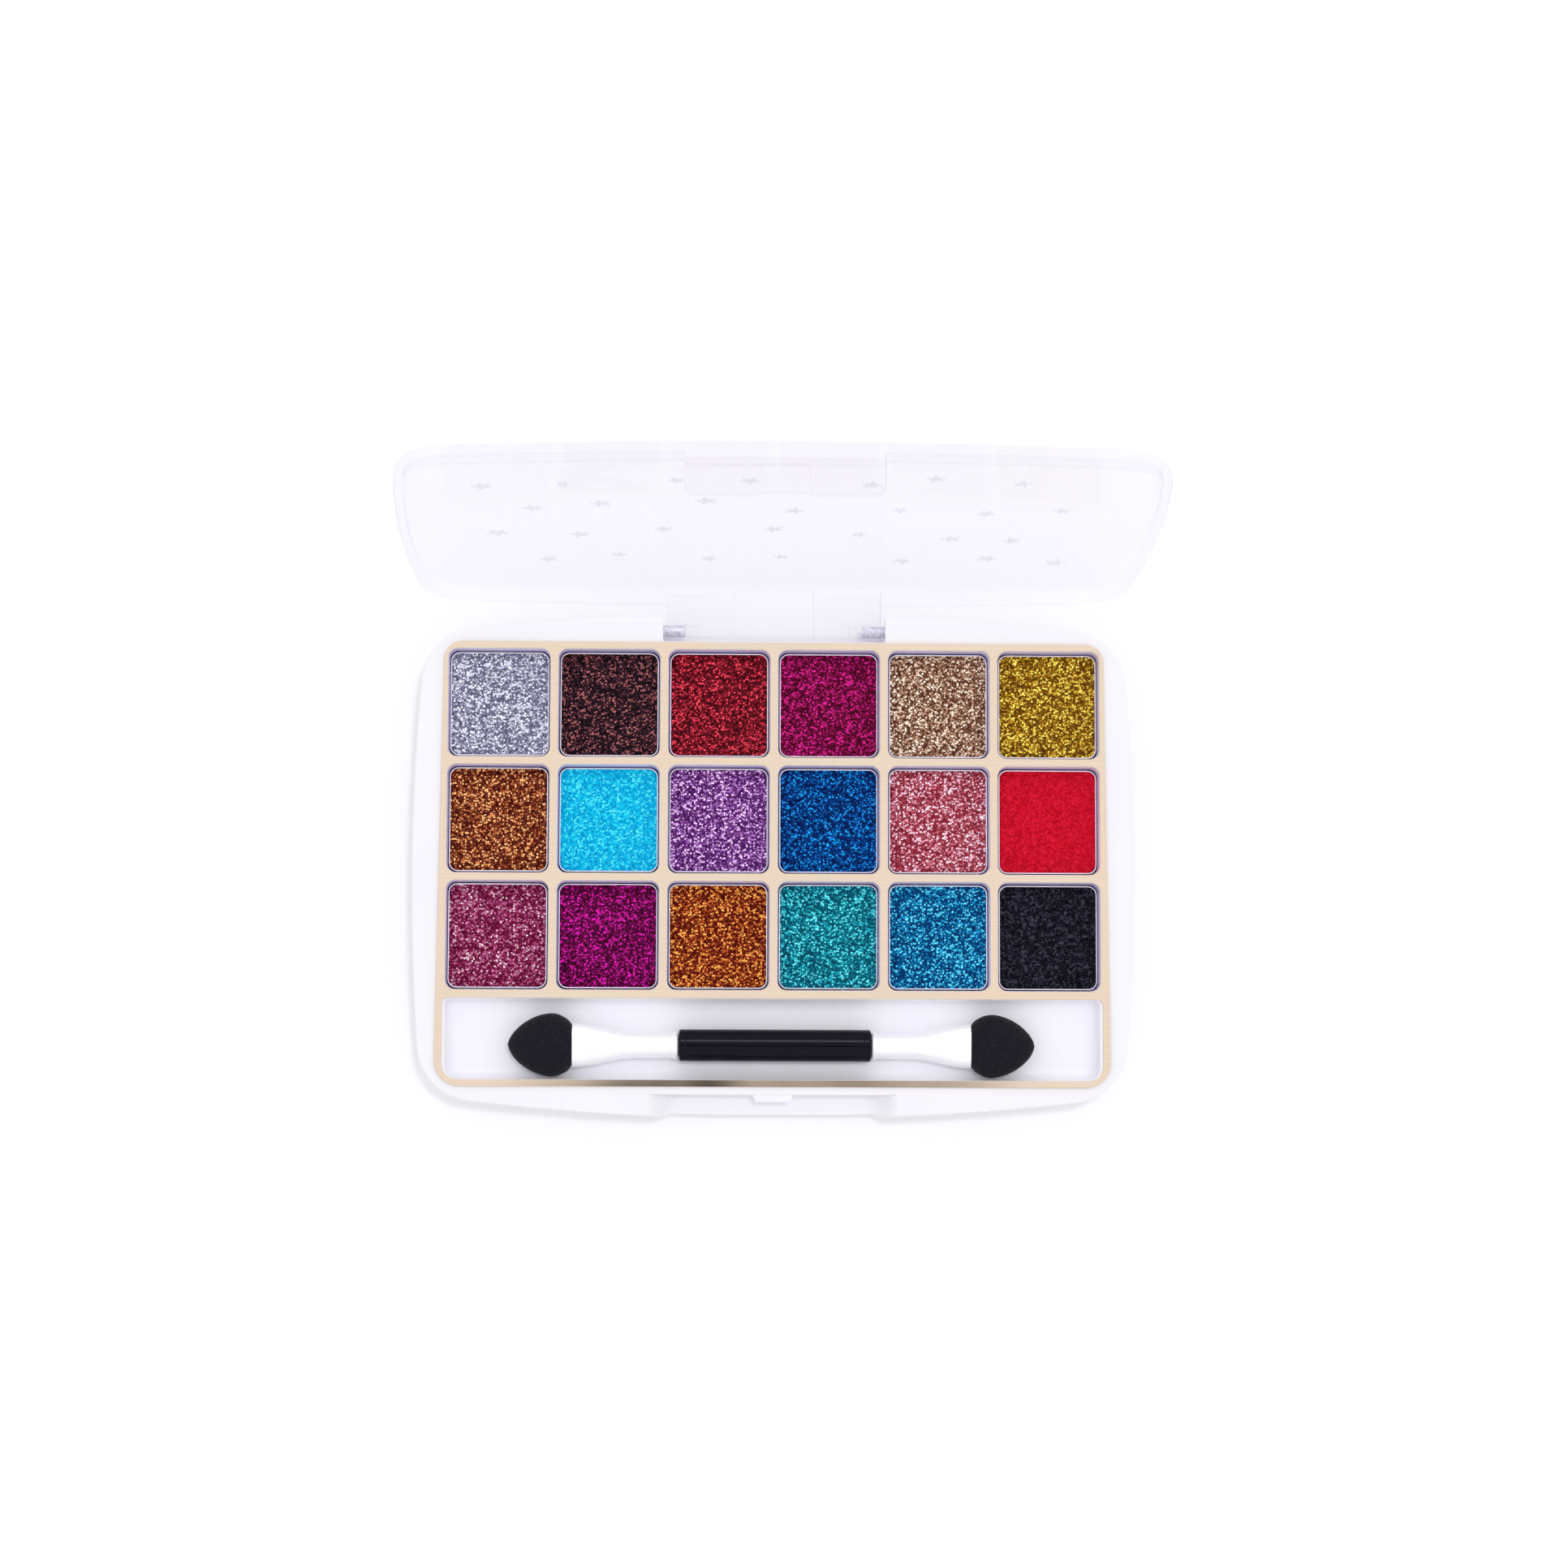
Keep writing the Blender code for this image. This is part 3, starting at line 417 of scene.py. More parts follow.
def carved(mesh, joins=(), cuts=()):
    """The mesh with helper bodies joined on and then cut away."""
    tools = []
    steps = []
    for operation, meshes in (("UNION", joins), ("DIFFERENCE", cuts)):
        for tool_mesh in meshes:
            tool = bpy.data.objects.new(tool_mesh.name, tool_mesh)
            bpy.context.scene.collection.objects.link(tool)
            tools.append(tool)
            steps.append(("BOOLEAN", {"operation": operation, "object": tool}))
    result = modified(mesh, steps)
    for tool in tools:
        bpy.data.objects.remove(tool)
    return result


def rod(name, profile, segments, transform):
    """A turned solid along X from (x, radius) points, which start and end on the axis."""
    rings = []
    for x, radius in profile[1:-1]:
        angles = [2 * math.pi * i / segments for i in range(segments)]
        rings.append([(x, radius * math.cos(a), radius * math.sin(a)) for a in angles])
    return loft(name, rings, transform=transform)


# --- materials ---


class Tree:
    """A node material: the shader is a Principled BSDF, and add() makes and links the other nodes."""

    def __init__(self, name, **inputs):
        self.material = bpy.data.materials.new(name)
        self.material.use_nodes = True
        self.nodes = self.material.node_tree.nodes
        self.links = self.material.node_tree.links
        self.shader = self.nodes["Principled BSDF"]
        self.output = self.nodes["Material Output"]
        self.set(self.shader, **inputs)

    def plug(self, socket, value):
        if isinstance(value, bpy.types.NodeSocket):
            self.links.new(value, socket)
        else:
            socket.default_value = value

    def set(self, node, **inputs):
        """Inputs by their names in lower case with underscores."""
        names = {socket.name.lower().replace(" ", "_"): socket for socket in reversed(node.inputs)}
        for key, value in inputs.items():
            self.plug(names[key], value)

    def add(self, kind, settings=None, **inputs):
        node = self.nodes.new("ShaderNode" + kind)
        for key, value in (settings or {}).items():
            setattr(node, key, value)
        self.set(node, **inputs)
        return node

    def where(self, scale=UNSTRETCHED):
        """Object coordinates, scaled per axis."""
        place = self.add("TexCoord").outputs["Object"]
        return self.add("Mapping", vector=place, scale=scale).outputs["Vector"]

    def noise(self, scale, detail, vector=None):
        node = self.add("TexNoise", vector=vector or self.where(), scale=scale, detail=detail)
        return node.outputs["Fac"]

    def ramp(self, factor, stops):
        node = self.add("ValToRGB", fac=factor)
        elements = node.color_ramp.elements
        while len(elements) < len(stops):
            elements.new(0.5)
        for element, (position, color) in zip(elements, stops):
            element.position = position
            element.color = (*color, 1.0)
        return node.outputs["Color"]

    def span(self, factor, low, high, start=0.3, end=0.7):
        """The factor's start to end stretched to low to high."""
        node = self.add("MapRange", value=factor, from_min=start, from_max=end, to_min=low, to_max=high)
        return node.outputs["Result"]

    def math(self, operation, *values, kind="Math"):
        node = self.add(kind, {"operation": operation})
        for socket, value in zip(node.inputs, values):
            self.plug(socket, value)
        return node.outputs[0]

    def mixed(self, factor, first, second):
        """Two colours blended by factor, from the first to the second."""
        return self.add("MixRGB", fac=factor, color1=first, color2=second).outputs[0]

    def surface(self, mix, first, second):
        """A mix of two shaders as the material's surface."""
        self.links.new(first.outputs[0], mix.inputs[1])
        self.links.new(second.outputs[0], mix.inputs[2])
        self.links.new(mix.outputs[0], self.output.inputs["Surface"])

    def bump(self, height, distance, strength=1.0, normal=None):
        node = self.add("Bump", height=height, distance=distance, strength=strength)
        if normal is not None:
            self.plug(node.inputs["Normal"], normal)
        return node.outputs["Normal"]


def moulded_plastic(name, low, high, roughness, well_shade=None):
    """White plastic, faintly cloudy, with a patchy gloss. Its wells' upright sides may take painted shade,
    given as (foot, top) colours: darker and more lavender at the foot, lighter up at the rim.
    """
    tree = Tree(name, specular_ior_level=0.5)
    cloud, handling = tree.noise(90, 2), tree.noise(130, 3)
    color = tree.ramp(cloud, ((0.3, low), (0.7, high)))
    # Painted shade: upright faces in the wells, beyond the trough, go from the foot colour low down to the
    # top colour at the rim
    if well_shade:
        place = tree.add("SeparateXYZ", vector=tree.where())
        rise = tree.span(place.outputs["Z"], 0.0, 1.0, WELL_DRAFT_Z, RIM_Z)
        facing = tree.add("SeparateXYZ", vector=tree.add("NewGeometry").outputs["Normal"]).outputs["Z"]
        upright = tree.span(facing, 1.0, 0.0, 0.15, 0.75)
        beyond_trough = tree.math("GREATER_THAN", place.outputs["Y"], TROUGH_BACK_Y + 0.1 * MM)
        share = tree.math("MULTIPLY", upright, beyond_trough)
        color = tree.mixed(share, color, tree.mixed(rise, *well_shade))
    patches = tree.span(handling, roughness - 0.01, roughness + 0.02)
    tree.set(tree.shader, base_color=color, roughness=patches)
    return tree.material


def grained(name, grain, tones, gloss=None, relief=None, stops=(0.3, 0.7), **inputs):
    """A material that follows one noise, given as (scale, detail, stretch).

    Tones are its colours at the stops, gloss its two roughnesses, and relief a bump's height and strength.
    """
    tree = Tree(name, **inputs)
    scale, detail, stretch = grain
    factor = tree.noise(scale, detail, tree.where(stretch))
    tree.set(tree.shader, base_color=tree.ramp(factor, tuple(zip(stops, tones))))
    if gloss:
        tree.set(tree.shader, roughness=tree.span(factor, *gloss))
    if relief:
        tree.set(tree.shader, normal=tree.bump(factor, *relief))
    return tree


def brushed_gold():
    tree = Tree("gold_foil", metallic=1.0, anisotropic=0.15)
    streaks = tree.noise(1.0, 3, tree.where((26, 5200, 5200)))
    patches = tree.noise(55, 3)
    tree.set(
        tree.shader,
        base_color=tree.ramp(streaks, ((0.25, (0.850, 0.690, 0.525)), (0.75, (0.915, 0.745, 0.565)))),
        roughness=tree.span(patches, 0.05, 0.08),
        normal=tree.bump(streaks, 0.001 * MM, 0.4),
    )
    return tree.material


def thin_tin():
    scuffs, tones = (900, 4, UNSTRETCHED), ((0.90, 0.895, 0.935), (0.97, 0.968, 0.99))
    look = {"metallic": 0.35, "specular_ior_level": 0.6}
    return grained("pan_tin", scuffs, tones, (0.29, 0.38), (0.01 * MM, 0.4), **look).material


def knurled_steel():
    wear, tones = (2400, 3, UNSTRETCHED), ((0.55, 0.54, 0.63), (0.86, 0.85, 0.93))
    return grained("pin_steel", wear, tones, (0.29, 0.4), stops=(0.35, 0.65), metallic=0.3).material


def satin_silver():
    around, tones = (1.0, 3, (6000, 160, 160)), ((0.97, 0.968, 0.98), (0.995, 0.993, 1.0))
    return grained("ferrule_silver", around, tones, (0.30, 0.38), (0.002 * MM, 0.5), metallic=0.45).material


def black_lacquer():
    ripple, tones = (700, 3, UNSTRETCHED), ((0.0018, 0.0017, 0.0066), (0.0030, 0.0028, 0.0092))
    look = {"specular_ior_level": 0.13}
    return grained("handle_black", ripple, tones, (0.09, 0.14), (0.004 * MM, 0.3), **look).material


def foam():
    """Black sponge: open pores over a fuzzy surface."""
    tree = Tree("sponge_foam", specular_ior_level=0.2, sheen_weight=0.10, sheen_roughness=0.5)
    pores = tree.add("TexVoronoi", vector=tree.where(), scale=4200).outputs["Distance"]
    fuzz = tree.noise(5200, 3)
    cells = ((0.30, (0.003, 0.0025, 0.006)), (0.62, (0.009, 0.008, 0.014)), (0.80, (0.045, 0.043, 0.058)))
    tree.set(
        tree.shader,
        base_color=tree.ramp(fuzz, cells),
        roughness=tree.span(pores, 0.85, 1.0, 0.0, 0.6),
        normal=tree.bump(tree.math("ADD", pores, fuzz), 0.12 * MM, 0.9),
    )
    return tree.material


def clear_plastic():
    """Clear polystyrene: it lets light straight through, with a cool cast that shows where it is thick."""
    tones = ((0.95, 0.945, 0.985), (0.985, 0.98, 1.0))
    tree = grained("lid_clear", LID_FLOW, tones, (0.01, 0.05), (0.02 * MM, 0.15), metallic=1.0)
    facing = tree.add("LayerWeight", blend=0.5).outputs["Facing"]
    cast = (
        (0.0, (0.993, 0.992, 0.995)),
        (0.70, (0.976, 0.974, 0.981)),
        (0.88, (0.962, 0.958, 0.972)),
        (1.0, (0.78, 0.77, 0.86)),
    )
    lamp = tree.add("LightPath").outputs["Is Shadow Ray"]
    clear = tree.add("BsdfTransparent", color=tree.mixed(lamp, tree.ramp(facing, cast), (1, 1, 1, 1)))
    gloss = tree.math("MULTIPLY", tree.add("Fresnel", ior=1.45).outputs["Fac"], LID_GLOSS)
    tree.surface(tree.add("MixShader", fac=gloss), clear, tree.shader)
    thickness = tree.add("VolumeAbsorption", color=LID_TINT, density=LID_ABSORPTION)
    tree.links.new(thickness.outputs[0], tree.output.inputs["Volume"])
    return tree.material


def solid_plastic():
    """The same plastic in the thick tab, where it bends what is seen through it. Lamps shine through."""
    tones = ((0.94, 0.93, 0.955), (0.955, 0.945, 0.97))
    look = {"ior": 1.45, "transmission_weight": 1.0, "specular_ior_level": 0.3}
    tree = grained("tab_clear", LID_FLOW, tones, (0.0, 0.03), **look)
    shade = tree.add("BsdfTransparent", color=(0.98, 0.975, 0.995, 1))
    lamp = tree.add("LightPath").outputs["Is Shadow Ray"]
    tree.surface(tree.add("MixShader", fac=lamp), tree.shader, shade)
    return tree.material


def star_ink():
    """Thin silvery ink that lets most of the light pass."""
    tint, tones = (1500, 2, UNSTRETCHED), ((0.84, 0.83, 0.90), (0.90, 0.89, 0.95))
    return grained("star_ink", tint, tones, roughness=0.4, alpha=0.36).material


def glitter_material(key):
    """Foil flakes: each cell's own number picks its colour and tilt. Painted shade darkens each cell
    towards its border, and the brightest cells take a painted highlight colour.
    """
    dark, middling, light, painted_glint = GLITTER[key]
    fine = key in FINE_SHADES
    tree = Tree(f"glitter_{key}", specular_ior_level=0.05, metallic=0.2 if fine else 0.5)
    flakes = tree.add("TexVoronoi", vector=tree.where(), scale=1 / FLAKE)
    number = tree.add("SeparateColor", color=flakes.outputs["Color"]).outputs["Red"]
    # Painted shade between flakes: each cell darkens towards its border
    painted_gap_shade = tree.span(flakes.outputs["Distance"], 0.0, 0.25 if fine else 0.5, 0.35, 0.70)
    clumps = tree.span(tree.noise(900, 2), -0.12, 0.12)
    tone = tree.math("ADD", tree.math("SUBTRACT", number, painted_gap_shade), clumps)
    # Dark to light is partly the flakes' own colours and partly painted light of lit and shaded flakes; the
    # last stop is a painted highlight
    stops = [(0.03, dark), (0.38, middling), (0.64, light), (0.84, painted_glint)]
    if key in SPECKLED_SHADES:
        # Coloured specks in the flakes' own colours, then a white painted highlight
        specks = ((0.84, (0.62, 0.30, 0.40)), (0.88, (0.30, 0.62, 0.44)), (0.92, (0.80, 0.72, 0.42)))
        stops[3:] = [*specks, (0.96, (0.95, 0.95, 0.95))]
    half, upright = (0.5, 0.5, 0.5), tree.add("NewGeometry").outputs["Normal"]
    lean = tree.math("SUBTRACT", flakes.outputs["Color"], half, kind="VectorMath")
    tilted = tree.math("MULTIPLY_ADD", lean, half, upright, kind="VectorMath")
    normal = tree.math("NORMALIZE", tilted, kind="VectorMath")
    shimmer = tree.noise(3600, 2)
    tree.set(
        tree.shader,
        base_color=tree.ramp(tone, stops),
        roughness=tree.span(shimmer, 0.3, 0.5),
        normal=tree.bump(shimmer, 0.02 * MM, 0.5, normal),
    )
    return tree.material


def floor_white():
    cloud, tones = (3, 2, UNSTRETCHED), ((0.93, 0.93, 0.93), (0.94, 0.94, 0.94))
    return grained("floor_white", cloud, tones, roughness=0.9, specular_ior_level=0.0).material


# --- pieces ---


def add_piece(name, mesh, material, body, slot, *nodes, even_normals=True):
    """A visible piece of one or several materials on its body, standing for the CAD nodes named last."""
    obj = bpy.data.objects.new(name, mesh)
    mesh.name = name
    mesh.materials.clear()
    for entry in material if isinstance(material, tuple) else (material,):
        mesh.materials.append(entry)
    bpy.context.scene.collection.objects.link(obj)
    if even_normals:
        even = obj.modifiers.new("even_normals", "WEIGHTED_NORMAL")
        even.keep_sharp = True
    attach(obj, body)
    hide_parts(*nodes)
    return obj


def pan_keys():
    return [f"r{row + 1}c{column + 1}" for row in range(ROWS) for column in range(COLUMNS)]


def pan_centre(key):
    low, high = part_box(f"pan_{key}")
    return (low.x + high.x) / 2, (low.y + high.y) / 2


def window_loops(lip=0.0):
    sizes = WINDOW_HALF_WIDTH - lip, WINDOW_HALF_DEPTH - lip, WINDOW_RADIUS - lip
    return [rounded_rectangle(*pan_centre(key), *sizes) for key in pan_keys()]


def trough_loop(inset=0.0, widening=0.0):
    """The trough's outline, moved inwards by inset and longer at each end by widening."""
    smallest_radius = 0.05 * MM
    half = TROUGH_HALF - inset + widening
    edges = (TROUGH_FRONT_Y + inset, TROUGH_BACK_Y - inset)
    radii = [max(r - inset, smallest_radius) for r in (TROUGH_FRONT_RADIUS, TROUGH_BACK_RADIUS)]
    return rounded_quad(0, (half, half), edges, radii)


def case_shell():
    rings = []
    for turn in turns(90, 16):
        inset = SKIRT_INSET * (1 - math.sin(turn))
        rings.append(at_height(case_outline(inset), SKIRT_HEIGHT * (1 - math.cos(turn))))
    for turn in turns(90, 4):
        z = RIM_Z - RIM_ROUNDING * (1 - math.sin(turn))
        rings.append(at_height(case_outline(RIM_ROUNDING * (1 - math.cos(turn))), z))
    return loft("case", rings)


def swing_relief():
    """Room for the hinge block's corner to swing, as a cut across the case's back."""
    far = 8 * MM
    curve = arc((AXIS_Y, AXIS_Z), SWING_RADIUS, 0, math.degrees(math.acos(0.2)), 24)
    above = (curve[-1][0], AXIS_Z + far)
    profile = [(AXIS_Y + far, AXIS_Z), (AXIS_Y + far, AXIS_Z + far), above, *reversed(curve)]
    return flat_solid("swing_relief", [profile], -HALF_WIDTH, HALF_WIDTH, ALONG_X)


def recess_edge():
    """The cut that sets the front edge back between two eased ramps."""
    steps = 16
    full_y = -HALF_DEPTH - 1 * MM
    ramp = []
    for i in range(steps + 1):
        share = i / steps
        x = RECESS_FLAT_HALF + share * (RECESS_RAMP_HALF - RECESS_FLAT_HALF)
        ramp.append((x, RECESS_EDGE_Y + ease(share) * (full_y - RECESS_EDGE_Y)))
    loop = [(-x, y) for x, y in reversed(ramp)] + ramp
    loop += [(RECESS_RAMP_HALF, full_y - 3 * MM), (-RECESS_RAMP_HALF, full_y - 3 * MM)]
    return flat_solid("recess_edge", [loop], -PAST_CASE, RIM_Z + PAST_CASE)


def recess_wall():
    """The cut over the catch's ledge, whose floor sweeps up to the rim at both ends."""
    slope = (LEDGE_INNER_Z - LEDGE_OUTER_Z) / (RECESS_WALL_Y - RECESS_EDGE_Y)
    beyond, steps = 3 * MM, 12
    front_y, top = RECESS_EDGE_Y - beyond, RIM_Z + beyond
    floors = ((RECESS_WALL_Y, LEDGE_INNER_Z), (front_y, LEDGE_OUTER_Z - slope * beyond))
    half = []
    for i in range(steps + 1):
        x = RECESS_FLAT_HALF + i / steps * (RECESS_RAMP_HALF - RECESS_FLAT_HALF)
        rise = ease(i / steps)
        (inner_y, inner), (outer_y, outer) = ((y, z + rise * (LEDGE_SWEEP_TOP - z)) for y, z in floors)
        half.append((x, [(inner_y, inner), (inner_y, top), (outer_y, top), (outer_y, outer)]))
    sweep = [(-x, ring) for x, ring in reversed(half)] + half
    return loft("recess_wall", [[(x, y, z) for y, z in ring] for x, ring in sweep])


def catch_nib():
    buried_y = RECESS_WALL_Y + NIB_BURIED
    tip_y = RECESS_WALL_Y - NIB_LENGTH
    right = [(NIB_TIP_HALF, tip_y), (NIB_ROOT_HALF, RECESS_WALL_Y), (NIB_ROOT_HALF, buried_y)]
    loop = [(-x, y) for x, y in reversed(right)] + right
    top = RIM_Z - NIB_TOP_GAP
    return flat_solid("catch_nib", [loop], top - NIB_THICKNESS, top)


def make_case():
    pocket = rounded_rectangle(0, 0, TRAY_HIGH.x, TRAY_HIGH.y, TRAY_RADIUS)
    notch = rounded_rectangle(0, NOTCH_FRONT_Y + HALF_DEPTH, NOTCH_HALF, HALF_DEPTH, NOTCH_RADIUS)
    bore_x = PIN_HIGH.x + BORE_END_GAP
    cuts = [
        flat_solid("pocket", [pocket], TRAY_LOW.z, RIM_Z + PAST_CASE),
        flat_solid("notch", [notch], NOTCH_FLOOR_Z, RIM_Z + PAST_CASE),
        cylinder_x("bores", CASE_BORE_RADIUS, -bore_x, bore_x, AXIS_Y, AXIS_Z),
        swing_relief(),
        recess_edge(),
        recess_wall(),
    ]
    case = carved(carved(case_shell(), cuts=cuts), joins=[catch_nib()])
    white = moulded_plastic("case_white", (0.845, 0.838, 0.863), (0.860, 0.853, 0.877), 0.30)
    add_piece("case_moulding", case, white, "base", "case_white", "base_case")


def wells():
    """The eighteen wells: they taper down to the pans' rims and are straight below."""
    bm = bmesh.new()
    for low, high in zip(window_loops(LIP + WELL_DRAFT), window_loops(LIP)):
        levels = ((low, WELL_FLOOR_Z), (low, WELL_DRAFT_Z), (high, RIM_Z), (high, RIM_Z + PAST_CASE))
        add_loft(bm, [at_height(loop, z) for loop, z in levels])
    return finished(bm, "wells")


def make_tray():
    outline = rounded_rectangle(0, 0, TRAY_HIGH.x, TRAY_HIGH.y, TRAY_RADIUS)
    rings = []
    for turn in turns(90, 8):
        inset = LIP + TROUGH_BOTTOM_ROUND * (1 - math.sin(turn))
        z = TROUGH_FLOOR_Z + TROUGH_BOTTOM_ROUND * (1 - math.cos(turn))
        rings.append(at_height(trough_loop(inset), z))
    rings.append(at_height(trough_loop(LIP), RIM_Z + PAST_CASE))
    slab = flat_solid("tray", [outline], TRAY_LOW.z, TRAY_HIGH.z)
    tray = carved(slab, cuts=[wells(), loft("trough", rings)])
    # The tray's wells take painted shade on their upright sides
    white = moulded_plastic("tray_white", (0.925, 0.92, 0.965), (0.94, 0.936, 0.975), 0.34, WELL_WALL_PAINTED_SHADE)
    add_piece("tray_moulding", tray, white, "base", "tray_white", "inner_tray")


def make_plate():
    halves, edges = (PLATE_HIGH.x, PLATE_BACK_HALF), (PLATE_LOW.y, PLATE_HIGH.y)
    outline = rounded_quad(0, halves, edges, (PLATE_FRONT_RADIUS, PLATE_BACK_RADIUS), 14)
    loops = [outline, *window_loops(), trough_loop(widening=PLATE_TROUGH_GAP)]
    edge = {"width": PLATE_EDGE, "segments": 2, "limit_method": "ANGLE"}
    sheet = flat_solid("plate", loops, PLATE_LOW.z, PLATE_HIGH.z)
    plate = modified(sheet, [("BEVEL", edge)], PLATE_SHARP_ANGLE)
    add_piece("gold_plate", plate, brushed_gold(), "base", "brushed_gold", "gold_face_plate")


# --- pans and glitter ---


def pan_loop(inset, steps=8):
    half_width, half_depth = (PAN_HIGH.x - PAN_LOW.x) / 2, (PAN_HIGH.y - PAN_LOW.y) / 2
    return rounded_rectangle(0, 0, half_width - inset, half_depth - inset, PAN_RADIUS - inset, steps)


def pan_mesh():
    """A pressed tin cup with a round foot and a rolled rim."""
    height = PAN_HIGH.z - PAN_LOW.z
    foot, lip = PAN_FOOT, PAN_WALL / 2
    rings = []
    for turn in turns(90, 4):
        rings.append(at_height(pan_loop(foot * (1 - math.sin(turn))), foot * (1 - math.cos(turn))))
    for turn in turns(180, 6):
        rings.append(at_height(pan_loop(lip * (1 - math.cos(turn))), height - lip + lip * math.sin(turn)))
    rings.append(at_height(pan_loop(PAN_WALL), PAN_WALL))
    return loft("pan", rings)


def inside_distance(x, y, half_width, half_depth, radius):
    """How far a point lies inside a rounded rectangle."""
    dx, dy = abs(x) - (half_width - radius), abs(y) - (half_depth - radius)
    outside = math.hypot(max(dx, 0), max(dy, 0))
    return radius - outside - min(max(dx, dy), 0)


def spread_points(spacing, half_width, half_depth, radius, rng):
    """A jittered grid of points inside the pan's rounded rectangle."""
    points = []
    across, along = round(2 * half_width / spacing), round(2 * half_depth / spacing)
    for i in range(across):
        for j in range(along):
            x = -half_width + (i + 0.5 + rng.uniform(-0.42, 0.42)) * 2 * half_width / across
            y = -half_depth + (j + 0.5 + rng.uniform(-0.42, 0.42)) * 2 * half_depth / along
            if inside_distance(x, y, half_width, half_depth, radius) > 0.5 * spacing:
                points.append((x, y))
    return points


def edge_points(loop, spacing):
    """Points about spacing apart along a closed loop."""
    points = []
    for (x0, y0), (x1, y1) in zip(loop, loop[1:] + loop[:1]):
        count = max(1, round(math.hypot(x1 - x0, y1 - y0) / spacing))
        points += [(x0 + (x1 - x0) * i / count, y0 + (y1 - y0) * i / count) for i in range(count)]
    return points


def stray_flakes(bm, spacing, top, rng, count):
    """Loose flakes on and just outside the pan's rim."""
    loop = edge_points(pan_loop(PAN_WALL * 0.4, 4), spacing)
    for _ in range(count):
        x, y = loop[rng.integers(len(loop))]
        x += rng.normal(0, STRAY_SPREAD)
        y += rng.normal(0, STRAY_SPREAD)
        size = rng.uniform(0.06, 0.11) * MM
        turn = rng.uniform(0, math.pi)
        tilt = rng.uniform(-0.2, 0.2, 2)
        corners = []
        for k in range(6):
            dx, dy = size * math.cos(turn + k * math.pi / 3), size * math.sin(turn + k * math.pi / 3)
            corners.append(bm.verts.new((x + dx, y + dy, top + STRAY_LIFT + dx * tilt[0] + dy * tilt[1])))
        bm.faces.new(corners)


def glitter_mesh(key, index):
    """A pressed cake whose top is a crust of tilted flakes."""
    rng = np.random.default_rng(SEED + index)
    fine = key in FINE_SHADES
    spacing = FINE_CRUST_STEP if fine else CRUST_STEP
    relief = CRUST_RELIEF * (0.45 if fine else 1.0)
    inset = PAN_WALL + CAKE_GAP
    half_width = (PAN_HIGH.x - PAN_LOW.x) / 2 - inset
    half_depth = (PAN_HIGH.y - PAN_LOW.y) / 2 - inset
    edge = edge_points(pan_loop(inset, 5), spacing)
    inner = spread_points(spacing, half_width, half_depth, PAN_RADIUS - inset, rng)
    rim = [(i, (i + 1) % len(edge)) for i in range(len(edge))]
    flat = [Vector(p) for p in edge + inner]
    points, _, triangles, *_ = delaunay_2d_cdt(flat, rim, [], 1, 1e-9)
    top = PAN_HIGH.z - PAN_LOW.z - CRUST_DROP
    bm = bmesh.new()
    crust = []
    for x, y in points:
        swell = CRUST_SWELL * noise.noise(Vector((x / (4 * MM), y / (4 * MM), 9.1 * index)))
        crust.append(bm.verts.new((x, y, top + swell + rng.uniform(-relief, relief))))
    for triangle in sorted(triangles):
        bm.faces.new([crust[i] for i in triangle])
    foot = [bm.verts.new((*crust[i].co.xy, PAN_WALL + CAKE_FOOT_GAP)) for i, _ in rim]
    for i, j in rim:
        bm.faces.new((crust[i], crust[j], foot[j], foot[i]))
    bm.faces.new(foot)
    bmesh.ops.recalc_face_normals(bm, faces=bm.faces)
    stray_flakes(bm, spacing, top, rng, STRAYS // 3 if fine else STRAYS)
    return plain_mesh(bm, f"glitter_{key}")


def make_pans():
    tin = thin_tin()
    for index, key in enumerate(pan_keys()):
        place = Matrix.Translation((*pan_centre(key), PAN_LOW.z))
        pan = pan_mesh()
        pan.transform(place)
        add_piece(f"tin_{key}", pan, tin, "base", "pan_tin", f"pan_{key}")
        cake = glitter_mesh(key, index)
        cake.transform(place)
        shadow = f"shadow_{key}"
        add_piece(f"glitter_{key}", cake, glitter_material(key), "base", shadow, shadow, even_normals=False)


# --- lid and hinge ---


def lid_y(y):
    """Y in the closed lid, counted from the hinge axis."""
    return y - AXIS_Y


def lid_z(z):
    """Z in the closed lid, counted from the hinge axis."""
    return z - AXIS_Z


def lid_skin():
    """The lid's outer skin, closed, counted from the hinge axis: a wall, a fillet and a shallow dome."""
    rings = [(0.0, 1.0, 0.0)]
    dome_steps = 10
    for turn in turns(90, 10):
        rise = LID_EDGE_DEPTH - LID_FILLET * (1 - math.sin(turn))
        rings.append((LID_FILLET * (1 - math.cos(turn)), 1.0, rise))
    for i in range(1, dome_steps + 1):
        scale = 1 - 0.95 * i / dome_steps
        rings.append((LID_FILLET, scale, LID_EDGE_DEPTH + LID_CROWN * (1 - scale * scale)))
    skin = []
    for inset, scale, rise in rings:
        outline = case_outline(inset)
        skin.append([(x * scale, lid_y(y * scale), lid_z(LID_RIM_Z + rise)) for x, y in outline])
    return loft("lid", skin, cap_first=False)


def hinge_block():
    top = lid_z(LID_RIM_Z + LID_EDGE_DEPTH - BLOCK_TOP_INSET)
    shoulder = lid_z(LID_RIM_Z + BLOCK_SHOULDER)
    chin = arc((0, 0), -BLOCK_FRONT, 180, 270, 16)
    profile = [(BLOCK_BACK, BLOCK_BOTTOM), (BLOCK_BACK, shoulder), (BLOCK_BACK - LID_FILLET, top)]
    profile += [(BLOCK_FRONT, top), *chin]
    return flat_solid("hinge_block", [profile], -BLOCK_HALF, BLOCK_HALF, ALONG_X)


